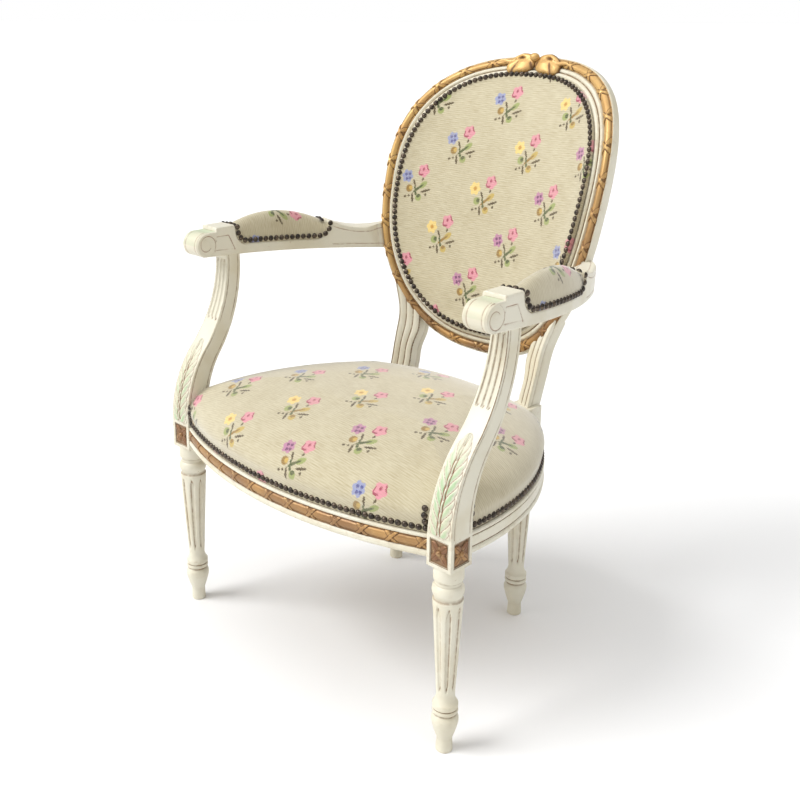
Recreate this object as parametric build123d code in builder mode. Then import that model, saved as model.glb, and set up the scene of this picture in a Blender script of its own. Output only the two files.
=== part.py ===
from build123d import *
import os
from math import asin, atan2, copysign, cos, degrees, dist, floor, hypot, pi, radians, sin, sqrt

os.makedirs("parts", exist_ok=True)

# Driving dimensions, in millimetres and degrees. +Z is up, the sitter faces -Y and the
# sitter's left is +X. The origin is on the floor, under the middle of the chair.

# Fits
fit_gap = 0.15
soft_gap = 0.3
joint_dowel_radius = 5
joint_dowel_reach = 16

# Turned legs
front_leg_x = 297
front_leg_y = -255.8
rear_leg_x = 145
rear_leg_y = 111.2
toe_radius = 12.4
ankle_height = 24
ankle_radius = 11.6
bulb_height = 50
bulb_radius = 19.9
bulb_top = 62
collar_radius = 18.8
collar_bottom = 65
collar_top = 81
shaft_bottom = 97
shaft_foot_radius = 13.9
shaft_top = 249
shaft_head_radius = 22.3
ring_bottom = 255
ring_radius = 22.6
neck_bottom = 273
neck_top = 279
neck_radius = 19.2
turning_groove = 1.8
flute_count = 8
flute_radius = 2.4
flute_margin = 20

# Square blocks at the head of the legs
block_drop = 10
block_rise = 6
block_width = 45
rear_block_width = 44
rear_block_rise = 34
rosette_panel = 30
rosette_depth = 2
rosette_height = 3.2

# Seat rails
rail_bottom = 311
rail_face_height = 34
rail_rebate_height = 17
rail_thickness = 28
rail_setback = 6
front_rail_inset = 3
front_rail_bow = 55.5
side_rail_inset = 9
side_rail_bow = 47.6
side_rail_rear_inset = 11
rear_rail_inset = 4
rear_rail_bow = 18
tenon_length = 13
tenon_thickness = 10
tenon_height = 28
tenon_lift = 7
front_moulding_lift = 11
front_moulding_drop = 6
front_moulding_seat = 3
front_moulding_proud = 2.5
corner_block_height = 40
corner_block_run = 62

# Arm supports
support_top_x = 305
support_top_y = -156.8
support_top_width = 30
support_top_depth = 30
support_front_turn = 190
support_rear_turn = 165
support_dowel_radius = 7
support_dowel_reach = 24
arm_dowel_radius = 6
arm_dowel_rise = 15
leaf_lift = 6
leaf_height = 99
leaf_thickness = 3

# Arms
arm_width = 40
arm_front_x = 309
arm_turn_y = -153.8
arm_turn_radius = 577
arm_rear_y = 179.2
scroll_y = -212.8
scroll_z = 653
scroll_radius = 21
scroll_boss_radius = 10
scroll_boss_height = 2
arm_fall = 0.066
arm_step_rise = 6.5
arm_step_front_y = -191.8
pad_front_y = -151.8
pad_rear_y = 46.2
pad_front_z = 676
pad_rear_z = 662
dish_run = 24
dish_front_z = 645
dish_rear_z = 635
pad_rise = 23
pad_end_round = 3
pad_round = 13
arm_dip_y = 86.2
arm_dip_z = 653
arm_end_z = 661

# Back: an egg-shaped oval on a raked cylinder that is hollow towards the sitter
back_y = 227.5
back_z = 706.4
back_rake = 16.8
bend_radius = 371
oval_half_width = 235.6
oval_half_height = 267.4
oval_power = 2.417
oval_egg = 0.063
frame_band = 48
frame_depth = 30
outer_step_depth = 8
outer_step_width = 20
middle_step_width = 26
middle_step_depth = 2
ledge_proud = 2
moulding_inset = 4
moulding_width = 14
moulding_height = 8
back_joint_up = 120
post_front_depth = 6
post_depth = 31
post_foot_up = -352
post_outer_across = 159
post_inner_across = 127
post_lobe = 8
post_flare = 9
post_waist_up = -256
post_head_up = -158
bow_inset = 16.5
bow_lobe_length = 50
bow_lobe_height = 33
bow_lobe_droop = 9
bow_knot_radius = 10
bow_proud = 8

# Upholstery
webbing_width = 50
webbing_thickness = 1.2
hessian_thickness = 1
cover_thickness = 2.5
seat_skirt_lift = 1
seat_crown_rises = (12, 26, 40, 53, 64, 71, 75)
seat_crown_insets = (0, 4, 19, 46, 82, 119, 155)
back_cover_inset = 35
back_crown = 30
back_rim = 10
back_webbing_gap = 100
seat_webbing_gap = 100
outside_cover_inset = 30
outside_cover_thickness = 2
nail_diameter = 9.8
nail_height = 4
nail_pitch = 10.4
seat_nail_lift = 7.5
back_nail_inset = 38.1
support_nail_count = 3

# Heights that follow the seat rails
rail_ledge = rail_bottom + rail_face_height
rail_top = rail_ledge + rail_rebate_height
block_bottom = rail_bottom - block_drop
block_top = rail_ledge + block_rise
rear_block_top = rail_top + rear_block_rise
front_moulding_bottom = rail_bottom + front_moulding_lift
front_moulding_top = rail_ledge - front_moulding_drop
leaf_bottom = block_top + leaf_lift
leaf_top = leaf_bottom + leaf_height
seat_nail_height = rail_ledge + seat_nail_lift
seat_crown_heights = [rail_top + rise for rise in seat_crown_rises]

# The oval is drawn as a chain of arcs, and cut from a block that reaches past it both ways
oval_arcs = 12
oval_front_reach = 150
oval_back_reach = 70


def save(builder, name):
    """Label a finished piece and write it to its own file."""
    builder.part.label = name
    export_step(builder.part, f"parts/{name}.step")


def save_mirrored(builder, name):
    """Write the sitter's right-hand twin of a left-hand piece."""
    with BuildPart() as twin:
        mirror(builder.part, about=Plane.YZ)
    save(twin, name)


def bow_circle(start, end, rise):
    """Centre and radius of the arc from start to end that rises to the right of that line."""
    run_x, run_y = end[0] - start[0], end[1] - start[1]
    half = hypot(run_x, run_y) / 2
    radius = (half**2 + rise**2) / (2 * rise)
    out_x, out_y = run_y / (2 * half), -run_x / (2 * half)
    back = radius - rise
    centre_x = (start[0] + end[0]) / 2 - out_x * back
    centre_y = (start[1] + end[1]) / 2 - out_y * back
    return (centre_x, centre_y), radius


def circles_meet(first, second, near):
    """The crossing of two circles, each a centre and a radius, that lies nearer to a point."""
    (x1, y1), r1 = first
    (x2, y2), r2 = second
    span = hypot(x2 - x1, y2 - y1)
    along = (r1**2 - r2**2 + span**2) / (2 * span)
    away = sqrt(r1**2 - along**2)
    ux, uy = (x2 - x1) / span, (y2 - y1) / span
    base = (x1 + ux * along, y1 + uy * along)
    options = [(base[0] - s * uy * away, base[1] + s * ux * away) for s in (-1, 1)]
    return min(options, key=lambda p: dist(p, near))


def arc_middle(circle, start, end):
    """Middle point of the short arc of a circle between two of its points."""
    (cx, cy), radius = circle
    mx, my = (start[0] + end[0]) / 2 - cx, (start[1] + end[1]) / 2 - cy
    scale = radius / hypot(mx, my)
    return cx + mx * scale, cy + my * scale


def mirrored(point):
    """A plan point carried across to the sitter's right."""
    return -point[0], point[1]


# Seat plan: the outer faces of the rails are arcs between the leg blocks
half_block = block_width / 2
half_rear_block = rear_block_width / 2
front_end = (front_leg_x - half_block, front_leg_y - half_block + front_rail_inset)
side_front_end = (front_leg_x + half_block - side_rail_inset, front_leg_y + half_block)
side_rear_end = (rear_leg_x + half_rear_block, rear_leg_y + half_rear_block - side_rail_rear_inset)
rear_end = (rear_leg_x - half_rear_block, rear_leg_y + half_rear_block - rear_rail_inset)
front_circle = bow_circle(mirrored(front_end), front_end, front_rail_bow)
side_circle = bow_circle(side_front_end, side_rear_end, side_rail_bow)
rear_circle = bow_circle(rear_end, mirrored(rear_end), rear_rail_bow)


def inset_circle(circle, inset):
    """A circle drawn in towards its centre."""
    return circle[0], circle[1] - inset


def front_y(x, inset):
    """Y of the front rail's face at x, drawn in by an inset."""
    (cx, cy), radius = inset_circle(front_circle, inset)
    return cy - sqrt(radius**2 - (x - cx) ** 2)


def rear_y(x, inset):
    """Y of the rear rail's face at x, drawn in by an inset."""
    (cx, cy), radius = inset_circle(rear_circle, inset)
    return cy + sqrt(radius**2 - (x - cx) ** 2)


def side_x(y, inset):
    """X of the left rail's face at y, drawn in by an inset."""
    (cx, cy), radius = inset_circle(side_circle, inset)
    return cx + sqrt(radius**2 - (y - cy) ** 2)


def side_y(x, inset):
    """Y of the rear stretch of the left rail's face at x, drawn in by an inset."""
    (cx, cy), radius = inset_circle(side_circle, inset)
    return cy + sqrt(radius**2 - (x - cx) ** 2)


def seat_outline(inset):
    """Face of the whole seat plan, drawn in by an inset from the rails' outer faces."""
    front, side, rear = (inset_circle(c, inset) for c in (front_circle, side_circle, rear_circle))
    front_corner = circles_meet(front, side, (front_leg_x + half_block, front_leg_y - half_block))
    rear_corner = circles_meet(side, rear, (rear_leg_x + half_rear_block, rear_leg_y + half_rear_block))
    side_middle = arc_middle(side, front_corner, rear_corner)
    with BuildLine() as outline:
        ThreePointArc(mirrored(front_corner), (0, front_y(0, inset)), front_corner)
        ThreePointArc(front_corner, side_middle, rear_corner)
        ThreePointArc(rear_corner, (0, rear_y(0, inset)), mirrored(rear_corner))
        ThreePointArc(mirrored(rear_corner), mirrored(side_middle), mirrored(front_corner))
    make_face(outline.edges())


def front_band(outer, inner):
    """Plan face of a strip that follows the front rail between two insets."""
    x = front_end[0]
    with BuildLine() as outline:
        ThreePointArc((-x, front_y(x, outer)), (0, front_y(0, outer)), (x, front_y(x, outer)))
        Line((x, front_y(x, outer)), (x, front_y(x, inner)))
        ThreePointArc((x, front_y(x, inner)), (0, front_y(0, inner)), (-x, front_y(x, inner)))
        Line((-x, front_y(x, inner)), (-x, front_y(x, outer)))
    make_face(outline.edges())


def rear_band(outer, inner):
    """Plan face of a strip that follows the rear rail between two insets."""
    x = rear_end[0]
    with BuildLine() as outline:
        ThreePointArc((-x, rear_y(x, outer)), (0, rear_y(0, outer)), (x, rear_y(x, outer)))
        Line((x, rear_y(x, outer)), (x, rear_y(x, inner)))
        ThreePointArc((x, rear_y(x, inner)), (0, rear_y(0, inner)), (-x, rear_y(x, inner)))
        Line((-x, rear_y(x, inner)), (-x, rear_y(x, outer)))
    make_face(outline.edges())


def side_band(outer, inner):
    """Plan face of a strip that follows the left side rail between two insets."""
    y, x = side_front_end[1], side_rear_end[0]
    outer_start, outer_end = (side_x(y, outer), y), (x, side_y(x, outer))
    inner_start, inner_end = (side_x(y, inner), y), (x, side_y(x, inner))
    outer_middle = arc_middle(inset_circle(side_circle, outer), outer_start, outer_end)
    inner_middle = arc_middle(inset_circle(side_circle, inner), inner_start, inner_end)
    with BuildLine() as outline:
        ThreePointArc(outer_start, outer_middle, outer_end)
        Line(outer_end, inner_end)
        ThreePointArc(inner_end, inner_middle, inner_start)
        Line(inner_start, outer_start)
    make_face(outline.edges())


# Places of the tenons, shared by the rails and by the mortises in the leg blocks
tenon_z = rail_bottom + tenon_lift + tenon_height / 2
front_tenon_y = (front_y(front_end[0], 0) + front_y(front_end[0], rail_thickness)) / 2
side_tenon_x = (side_x(side_front_end[1], 0) + side_x(side_front_end[1], rail_thickness)) / 2
side_tenon_y = (side_y(side_rear_end[0], 0) + side_y(side_rear_end[0], rail_thickness)) / 2
rear_tenon_y = (rear_y(rear_end[0], 0) + rear_y(rear_end[0], rail_thickness)) / 2


def tenon(x, y, along_x, gap, mode):
    """A rail's tenon, or its mortise when a gap is given, centred on a joint face."""
    run, width = 2 * tenon_length + 2 * gap, tenon_thickness + 2 * gap
    with Locations((x, y, tenon_z)):
        if along_x:
            Box(run, width, tenon_height + 2 * gap, mode=mode)
        else:
            Box(width, run, tenon_height + 2 * gap, mode=mode)


# Turned leg
shaft_slope = (shaft_head_radius - shaft_foot_radius) / (shaft_top - shaft_bottom)
flute_tilt = degrees(atan2(shaft_slope, 1))
flute_bottom = shaft_bottom + flute_margin / 2
flute_top = shaft_top - flute_margin
flute_middle = (flute_bottom + flute_top) / 2
flute_reach = shaft_foot_radius + shaft_slope * (flute_middle - shaft_bottom) + flute_radius / 3

with BuildPart() as flute_cutter:
    flute_plane = Plane(
        origin=(flute_reach, 0, flute_middle), x_dir=(1, 0, -shaft_slope), z_dir=(shaft_slope, 0, 1)
    )
    with Locations(flute_plane):
        Cylinder(flute_radius, flute_top - flute_bottom)
    with Locations(flute_plane.offset((flute_top - flute_bottom) / 2)):
        Sphere(flute_radius)
    with Locations(flute_plane.offset((flute_bottom - flute_top) / 2)):
        Sphere(flute_radius)

with BuildPart() as turned_leg:
    with BuildSketch(Plane.XZ):
        with BuildLine():
            groove_radius = collar_radius - turning_groove
            Polyline((0, 0), (toe_radius, 0), (ankle_radius, ankle_height))
            ThreePointArc((ankle_radius, ankle_height), (bulb_radius, bulb_height), (groove_radius, bulb_top))
            Polyline(
                (groove_radius, bulb_top),
                (groove_radius, collar_bottom),
                (collar_radius, collar_bottom),
                (collar_radius, collar_top),
            )
            hollow_radius = shaft_bottom - collar_top
            RadiusArc((collar_radius, collar_top), (shaft_foot_radius, shaft_bottom), -hollow_radius)
            shoulder_radius = shaft_head_radius - turning_groove
            Polyline(
                (shaft_foot_radius, shaft_bottom),
                (shaft_head_radius, shaft_top),
                (shoulder_radius, shaft_top + turning_groove),
                (shoulder_radius, ring_bottom),
            )
            ring_point = (ring_radius, (ring_bottom + neck_bottom) / 2)
            ThreePointArc((shoulder_radius, ring_bottom), ring_point, (neck_radius, neck_bottom))
            Polyline(
                (neck_radius, neck_bottom),
                (neck_radius, neck_top),
                (half_block - turning_groove / 2, neck_top + turning_groove),
                (half_block - turning_groove / 2, block_bottom),
                (0, block_bottom),
                (0, 0),
            )
        make_face()
    revolve(axis=Axis.Z)
    with PolarLocations(0, flute_count):
        add(flute_cutter.part, mode=Mode.SUBTRACT)

# Front legs: mortised for the front and side rails, bored for the support's dowel
with BuildPart() as front_leg:
    with Locations((front_leg_x, front_leg_y)):
        add(turned_leg.part)
    with Locations((front_leg_x, front_leg_y, (block_bottom + block_top) / 2)):
        Box(block_width, block_width, block_top - block_bottom)
    tenon(front_end[0], front_tenon_y, True, fit_gap, Mode.SUBTRACT)
    tenon(side_tenon_x, side_front_end[1], False, fit_gap, Mode.SUBTRACT)
    with Locations((front_leg_x, front_leg_y, block_top - support_dowel_reach / 2)):
        Cylinder(support_dowel_radius + fit_gap, support_dowel_reach + fit_gap, mode=Mode.SUBTRACT)
    rosette_z = (block_bottom + block_top) / 2
    with Locations((front_leg_x, front_leg_y - half_block, rosette_z)):
        Box(rosette_panel, 2 * rosette_depth, rosette_panel, mode=Mode.SUBTRACT)
    with Locations((front_leg_x + half_block, front_leg_y, rosette_z)):
        Box(2 * rosette_depth, rosette_panel, rosette_panel, mode=Mode.SUBTRACT)
save(front_leg, "front_leg_left")
save_mirrored(front_leg, "front_leg_right")

# Rosettes: four pointed leaves round a button, let into the blocks' faces
rosette_seat = half_block - rosette_depth
front_seat = (front_leg_x, front_leg_y - rosette_seat, rosette_z)
outer_seat = (front_leg_x + rosette_seat, front_leg_y, rosette_z)
front_face = Plane(origin=front_seat, x_dir=(1, 0, 0), z_dir=(0, -1, 0))
outer_face = Plane(origin=outer_seat, x_dir=(0, 1, 0), z_dir=(1, 0, 0))
petal_reach = rosette_panel / 2 * sqrt(2) - rosette_depth
with BuildPart() as rosettes:
    for face in (front_face, outer_face):
        with BuildSketch(face):
            with PolarLocations(petal_reach / 2, 4, start_angle=45):
                Ellipse(petal_reach / 2, rosette_panel / 5)
            Circle(rosette_panel / 5)
        extrude(amount=rosette_height)
    mirror(about=Plane.YZ)
save(rosettes, "leg_rosettes")

# Seat rails
with BuildPart() as front_rail:
    with BuildSketch(Plane.XY.offset(rail_bottom)):
        front_band(0, rail_thickness)
    extrude(amount=rail_ledge - rail_bottom)
    with BuildSketch(Plane.XY.offset(rail_ledge)):
        front_band(rail_setback + fit_gap, rail_thickness)
    extrude(amount=rail_top - rail_ledge)
    with BuildSketch(Plane.XY.offset(front_moulding_bottom)):
        front_band(-1, front_moulding_seat)
    extrude(amount=front_moulding_top - front_moulding_bottom, mode=Mode.SUBTRACT)
    for side in (-1, 1):
        tenon(side * front_end[0], front_tenon_y, True, 0, Mode.ADD)
save(front_rail, "front_rail")

with BuildPart() as front_moulding:
    with BuildSketch(Plane.XY.offset(front_moulding_bottom + fit_gap)):
        front_band(-front_moulding_proud, front_moulding_seat)
    extrude(amount=front_moulding_top - front_moulding_bottom - 2 * fit_gap)
    front_edges = front_moulding.edges().filter_by(GeomType.CIRCLE).sort_by(lambda e: e.center().Y)[0:2]
    fillet(front_edges, front_moulding_proud + front_moulding_seat - 1)
save(front_moulding, "front_rail_moulding")

with BuildPart() as side_rail:
    with BuildSketch(Plane.XY.offset(rail_bottom)):
        side_band(0, rail_thickness)
    extrude(amount=rail_ledge - rail_bottom)
    with BuildSketch(Plane.XY.offset(rail_ledge)):
        side_band(rail_setback + fit_gap, rail_thickness)
    extrude(amount=rail_top - rail_ledge)
    tenon(side_tenon_x, side_front_end[1], False, 0, Mode.ADD)
    tenon(side_rear_end[0], side_tenon_y, True, 0, Mode.ADD)
save(side_rail, "side_rail_left")
save_mirrored(side_rail, "side_rail_right")

with BuildPart() as rear_rail:
    with BuildSketch(Plane.XY.offset(rail_bottom)):
        rear_band(0, rail_thickness)
    extrude(amount=rail_ledge - rail_bottom)
    with BuildSketch(Plane.XY.offset(rail_ledge)):
        rear_band(rail_setback + fit_gap, rail_thickness)
    extrude(amount=rail_top - rail_ledge)
    for side in (-1, 1):
        tenon(side * rear_end[0], rear_tenon_y, True, 0, Mode.ADD)
save(rear_rail, "rear_rail")

# Frame of the bent back: across is X, up follows the rake, ahead points at the sitter
rake = radians(back_rake)
back_up = Vector(0, sin(rake), cos(rake))
back_ahead = Vector(0, -cos(rake), sin(rake))
back_origin = Vector(0, back_y, back_z)
back_plane = Plane(origin=back_origin, x_dir=(1, 0, 0), z_dir=back_ahead)
bend_axis = back_origin + back_ahead * bend_radius
bend_plane = Plane(origin=bend_axis, x_dir=(1, 0, 0), z_dir=back_up)


def oval_at(turn, inset):
    """Across and up of a point of the oval, drawn in by an inset from its outer edge."""
    c, s = cos(turn), sin(turn)
    up_share = copysign(abs(s) ** (2 / oval_power), s)
    across = (oval_half_width - inset) * copysign(abs(c) ** (2 / oval_power), c)
    return across * (1 + oval_egg * up_share), (oval_half_height - inset) * up_share


def bend_angle(across):
    """Angle round the bend's axis of a point on the front of the bend."""
    return asin(across / bend_radius)


def bend_point(across, up, depth):
    """Place of a point that lies a depth behind the front of the bend."""
    angle = bend_angle(across)
    reach = bend_radius + depth
    ahead = bend_radius - reach * cos(angle)
    return back_origin + Vector(reach * sin(angle), 0, 0) + back_up * up + back_ahead * ahead


def straight_point(across, up, depth):
    """Place of a point at a depth whose across is measured there, not on the bend's front."""
    return bend_point(across * bend_radius / (bend_radius + depth), up, depth)


def oval_prism(inset, mode=Mode.ADD):
    """Block bounded by the oval at an inset, with walls square to the back plane."""
    points = [oval_at(pi * i / oval_arcs, inset) for i in range(2 * oval_arcs)]
    points.append(points[0])
    with BuildSketch(back_plane.offset(-oval_back_reach)) as section:
        with BuildLine() as outline:
            for i in range(0, 2 * oval_arcs, 2):
                ThreePointArc(*points[i : i + 3])
        make_face(outline.edges())
    extrude(section.sketch, amount=oval_back_reach + oval_front_reach, mode=mode)


def bend_slab(front_depth, back_depth):
    """Keep what lies between two depths behind the front of the bend."""
    with BuildSketch(bend_plane.offset(-2 * oval_half_height)) as tube:
        Circle(bend_radius + back_depth)
        Circle(bend_radius + front_depth, mode=Mode.SUBTRACT)
    extrude(tube.sketch, amount=4 * oval_half_height, mode=Mode.INTERSECT)


def oval_ring(outer_inset, inner_inset, front_depth, back_depth):
    """Bent ring between two insets and two depths."""
    with BuildPart() as ring:
        oval_prism(outer_inset)
        oval_prism(inner_inset, Mode.SUBTRACT)
        bend_slab(front_depth, back_depth)
    return ring.part


def oval_sheet(inset, front_depth, back_depth):
    """Bent oval sheet between two depths."""
    with BuildPart() as sheet:
        oval_prism(inset)
        bend_slab(front_depth, back_depth)
    return sheet.part


# Oval back frame: an outer step for the gilt moulding rises to the ledge under the nails
with BuildPart() as oval_frame:
    add(oval_ring(0, frame_band, outer_step_depth, frame_depth))
    add(oval_ring(outer_step_width, frame_band, middle_step_depth, frame_depth))
    add(oval_ring(middle_step_width, frame_band, -ledge_proud, frame_depth))

with BuildPart() as oval_outer:
    oval_prism(0)


def joint_plane(up):
    """Plane across the back at a height up its rake."""
    return Plane(origin=back_origin + back_up * up, x_dir=(1, 0, 0), z_dir=back_up)


# Dowels of the oval's four joints: two side by side at each joint
frame_middle_inset = frame_band / 2
frame_middle_depth = (outer_step_depth + frame_depth) / 2
frame_dowel_spread = 1.5 * joint_dowel_radius


def oval_at_up(up, inset):
    """Across of the oval's left side at a height up the rake."""
    share = up / (oval_half_height - inset)
    flat = (1 - abs(share) ** oval_power) ** (1 / oval_power)
    return (oval_half_width - inset) * flat * (1 + oval_egg * share)


def frame_dowels(gap):
    """The dowels in the oval's joints, or their holes when a gap is given."""
    with BuildPart() as dowels:
        for up in (-back_joint_up, back_joint_up):
            for side in (-1, 1):
                inset = frame_middle_inset + side * frame_dowel_spread
                centre = straight_point(oval_at_up(up, inset), up, frame_middle_depth)
                with Locations(Plane(origin=centre, x_dir=(1, 0, 0), z_dir=back_up)):
                    Cylinder(joint_dowel_radius + gap, 2 * (joint_dowel_reach + gap))
        mirror(about=Plane.YZ)
    return dowels.part


# Rear posts: raking pieces with an inner lobe, from the leg blocks to the oval
def draw_post():
    """Outline of the left post on the back plane, running up into the oval."""
    outer_foot = (post_outer_across, post_foot_up)
    outer_waist = (post_outer_across + post_flare / 3, post_waist_up)
    outer_bend = (post_outer_across + post_flare, (post_waist_up + post_head_up) / 2)
    outer_head = (post_outer_across + 3 * post_flare, post_head_up)
    inner_head = (post_inner_across + post_lobe / 2, post_head_up)
    inner_waist = (post_inner_across - post_lobe / 2, post_waist_up)
    inner_rise = (post_inner_across - post_lobe / 3, (post_waist_up + post_head_up) / 2)
    lobe_top = (post_inner_across + post_lobe / 2, post_waist_up - 2 * post_lobe)
    lobe_foot = (post_inner_across + post_lobe / 2, post_waist_up - 5 * post_lobe)
    inner_foot = (post_inner_across, post_foot_up)
    with BuildLine() as line:
        Line(outer_foot, outer_waist)
        ThreePointArc(outer_waist, outer_bend, outer_head)
        Line(outer_head, inner_head)
        ThreePointArc(inner_head, inner_rise, inner_waist)
        Polyline(inner_waist, lobe_top, lobe_foot, inner_foot, outer_foot)
    make_face(line.edges())


post_dowel_across = (post_outer_across + post_inner_across) / 2


def oval_up_at(across):
    """Height down the rake of the oval's lower edge at an across, found by halving."""
    low, high = -oval_half_height, 0
    for _ in range(40):
        middle = (low + high) / 2
        if oval_at_up(middle, 0) < across:
            low = middle
        else:
            high = middle
    return low


post_dowel_up = oval_up_at(post_dowel_across)


def post_dowels(gap):
    """The dowels between posts and oval, or their holes when a gap is given."""
    with BuildPart() as dowels:
        centre = straight_point(post_dowel_across, post_dowel_up, frame_middle_depth)
        with Locations(Plane(origin=centre, x_dir=(1, 0, 0), z_dir=back_up)):
            Cylinder(joint_dowel_radius + gap, 2 * (joint_dowel_reach + gap))
        mirror(about=Plane.YZ)
    return dowels.part


with BuildPart() as post:
    with BuildSketch(back_plane.offset(-oval_back_reach)):
        draw_post()
    extrude(amount=oval_back_reach + oval_front_reach)
    bend_slab(post_front_depth, post_front_depth + post_depth)
    add(oval_outer.part, mode=Mode.SUBTRACT)

with BuildPart() as rear_leg:
    with Locations((rear_leg_x, rear_leg_y)):
        add(turned_leg.part)
    with Locations((rear_leg_x, rear_leg_y, (block_bottom + rear_block_top) / 2)):
        Box(rear_block_width, rear_block_width, rear_block_top - block_bottom)
    add(post.part)
    tenon(side_rear_end[0], side_tenon_y, True, fit_gap, Mode.SUBTRACT)
    tenon(rear_end[0], rear_tenon_y, True, fit_gap, Mode.SUBTRACT)
    add(post_dowels(fit_gap), mode=Mode.SUBTRACT)
save(rear_leg, "rear_leg_left")
save_mirrored(rear_leg, "rear_leg_right")

# Glued blocks in the inner corners of the seat frame
def corner_block(corners, leg_x, leg_y, leg_width):
    """Block that fills a corner of the frame, inside the rails and round a leg."""
    with BuildPart() as block:
        with BuildSketch(Plane.XY.offset(rail_bottom)) as plan:
            seat_outline(rail_thickness)
            Polygon(*corners, align=None, mode=Mode.INTERSECT)
        extrude(plan.sketch, amount=corner_block_height)
        with Locations((leg_x, leg_y, rail_bottom)):
            Box(leg_width, leg_width, 4 * corner_block_height, mode=Mode.SUBTRACT)
    return block


front_corners = (
    (front_end[0] - corner_block_run, front_leg_y - half_block),
    (front_end[0] + block_width, front_leg_y - half_block),
    (front_end[0] + block_width, front_leg_y + half_block + corner_block_run),
)
rear_corners = (
    (rear_end[0] - corner_block_run, rear_leg_y + half_rear_block),
    (rear_end[0] - corner_block_run, rear_leg_y - half_rear_block / 2),
    (side_rear_end[0] + half_rear_block, rear_leg_y - half_rear_block - corner_block_run),
    (side_rear_end[0] + corner_block_run, rear_leg_y + half_rear_block),
)
front_corner_block = corner_block(front_corners, front_leg_x, front_leg_y, block_width)
save(front_corner_block, "front_corner_block_left")
save_mirrored(front_corner_block, "front_corner_block_right")
rear_corner_block = corner_block(rear_corners, rear_leg_x, rear_leg_y, rear_block_width)
save(rear_corner_block, "rear_corner_block_left")
save_mirrored(rear_corner_block, "rear_corner_block_right")


# Arms: the side view cut to a plan that runs straight from the scroll, then turns in to the back
def arm_centre(y):
    """X of the left arm's middle line at y."""
    if y < arm_turn_y:
        return arm_front_x
    return arm_front_x - arm_turn_radius + sqrt(arm_turn_radius**2 - (y - arm_turn_y) ** 2)


def arm_underside(y):
    """Z of the arm's underside at y."""
    return scroll_z - scroll_radius - arm_fall * (y - scroll_y)


def arm_turn_point(y, side):
    """Point on the arm's inner or outer edge, square to its middle line at y."""
    lean = asin((y - arm_turn_y) / arm_turn_radius)
    reach = arm_turn_radius + side
    return arm_front_x - arm_turn_radius + reach * cos(lean), arm_turn_y + reach * sin(lean)


def arm_plan(half_width):
    """Plan face of the left arm."""
    front = scroll_y - 2 * scroll_radius
    turn_middle = (arm_turn_y + arm_rear_y) / 2
    with BuildLine() as plan:
        outer = [arm_turn_point(y, half_width) for y in (arm_turn_y, turn_middle, arm_rear_y)]
        inner = [arm_turn_point(y, -half_width) for y in (arm_rear_y, turn_middle, arm_turn_y)]
        Line((arm_front_x + half_width, front), outer[0])
        ThreePointArc(*outer)
        Line(outer[2], inner[0])
        ThreePointArc(*inner)
        Line(inner[2], (arm_front_x - half_width, front))
        Line((arm_front_x - half_width, front), (arm_front_x + half_width, front))
    make_face(plan.edges())


dish_front_y = pad_front_y + dish_run
dish_rear_y = pad_rear_y - dish_run
dish_bend = 1 - sqrt(0.5)


def draw_dish():
    """Side view of the hollow that the arm pad sits in, open at the top."""
    top = scroll_z + 4 * scroll_radius
    with BuildLine() as dish:
        Line((pad_front_y, top), (pad_front_y, pad_front_z))
        front_rise, rear_rise = pad_front_z - dish_front_z, pad_rear_z - dish_rear_z
        ThreePointArc(
            (pad_front_y, pad_front_z),
            (pad_front_y + dish_run * dish_bend, dish_front_z + front_rise * dish_bend),
            (dish_front_y, dish_front_z),
        )
        Line((dish_front_y, dish_front_z), (dish_rear_y, dish_rear_z))
        ThreePointArc(
            (dish_rear_y, dish_rear_z),
            (pad_rear_y - dish_run * dish_bend, dish_rear_z + rear_rise * dish_bend),
            (pad_rear_y, pad_rear_z),
        )
        Line((pad_rear_y, pad_rear_z), (pad_rear_y, top))
        Line((pad_rear_y, top), (pad_front_y, top))
    make_face(dish.edges())


# Looking along +X, a side view's first axis is +Y and its second is +Z
side_view = Plane(origin=(0, 0, 0), x_dir=(0, 1, 0), z_dir=(1, 0, 0))
arm_reach = arm_front_x + 2 * arm_width

with BuildPart() as dish_space:
    with BuildSketch(side_view):
        draw_dish()
    extrude(amount=arm_reach)

with BuildPart() as arm_blank:
    with BuildSketch(side_view):
        scroll_top = scroll_z + scroll_radius
        step_top = scroll_top + arm_step_rise
        pad_rear_lip = (pad_rear_y + nail_height, pad_rear_z + nail_height)
        with BuildLine():
            scroll_front = (scroll_y - scroll_radius, scroll_z)
            ThreePointArc((scroll_y, arm_underside(scroll_y)), scroll_front, (scroll_y, scroll_top))
            Polyline(
                (scroll_y, scroll_top),
                (arm_step_front_y, scroll_top),
                (arm_step_front_y, step_top),
                (pad_front_y - nail_height, step_top),
                pad_rear_lip,
            )
            ThreePointArc(pad_rear_lip, (arm_dip_y, arm_dip_z), (arm_rear_y, arm_end_z))
            Polyline(
                (arm_rear_y, arm_end_z),
                (arm_rear_y, arm_underside(arm_rear_y)),
                (scroll_y, arm_underside(scroll_y)),
            )
        make_face()
    extrude(amount=arm_reach)
    with BuildSketch():
        arm_plan(arm_width / 2)
    extrude(amount=2 * scroll_z, mode=Mode.INTERSECT)
    add(dish_space.part, mode=Mode.SUBTRACT)
    add(oval_outer.part, mode=Mode.SUBTRACT)

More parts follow.
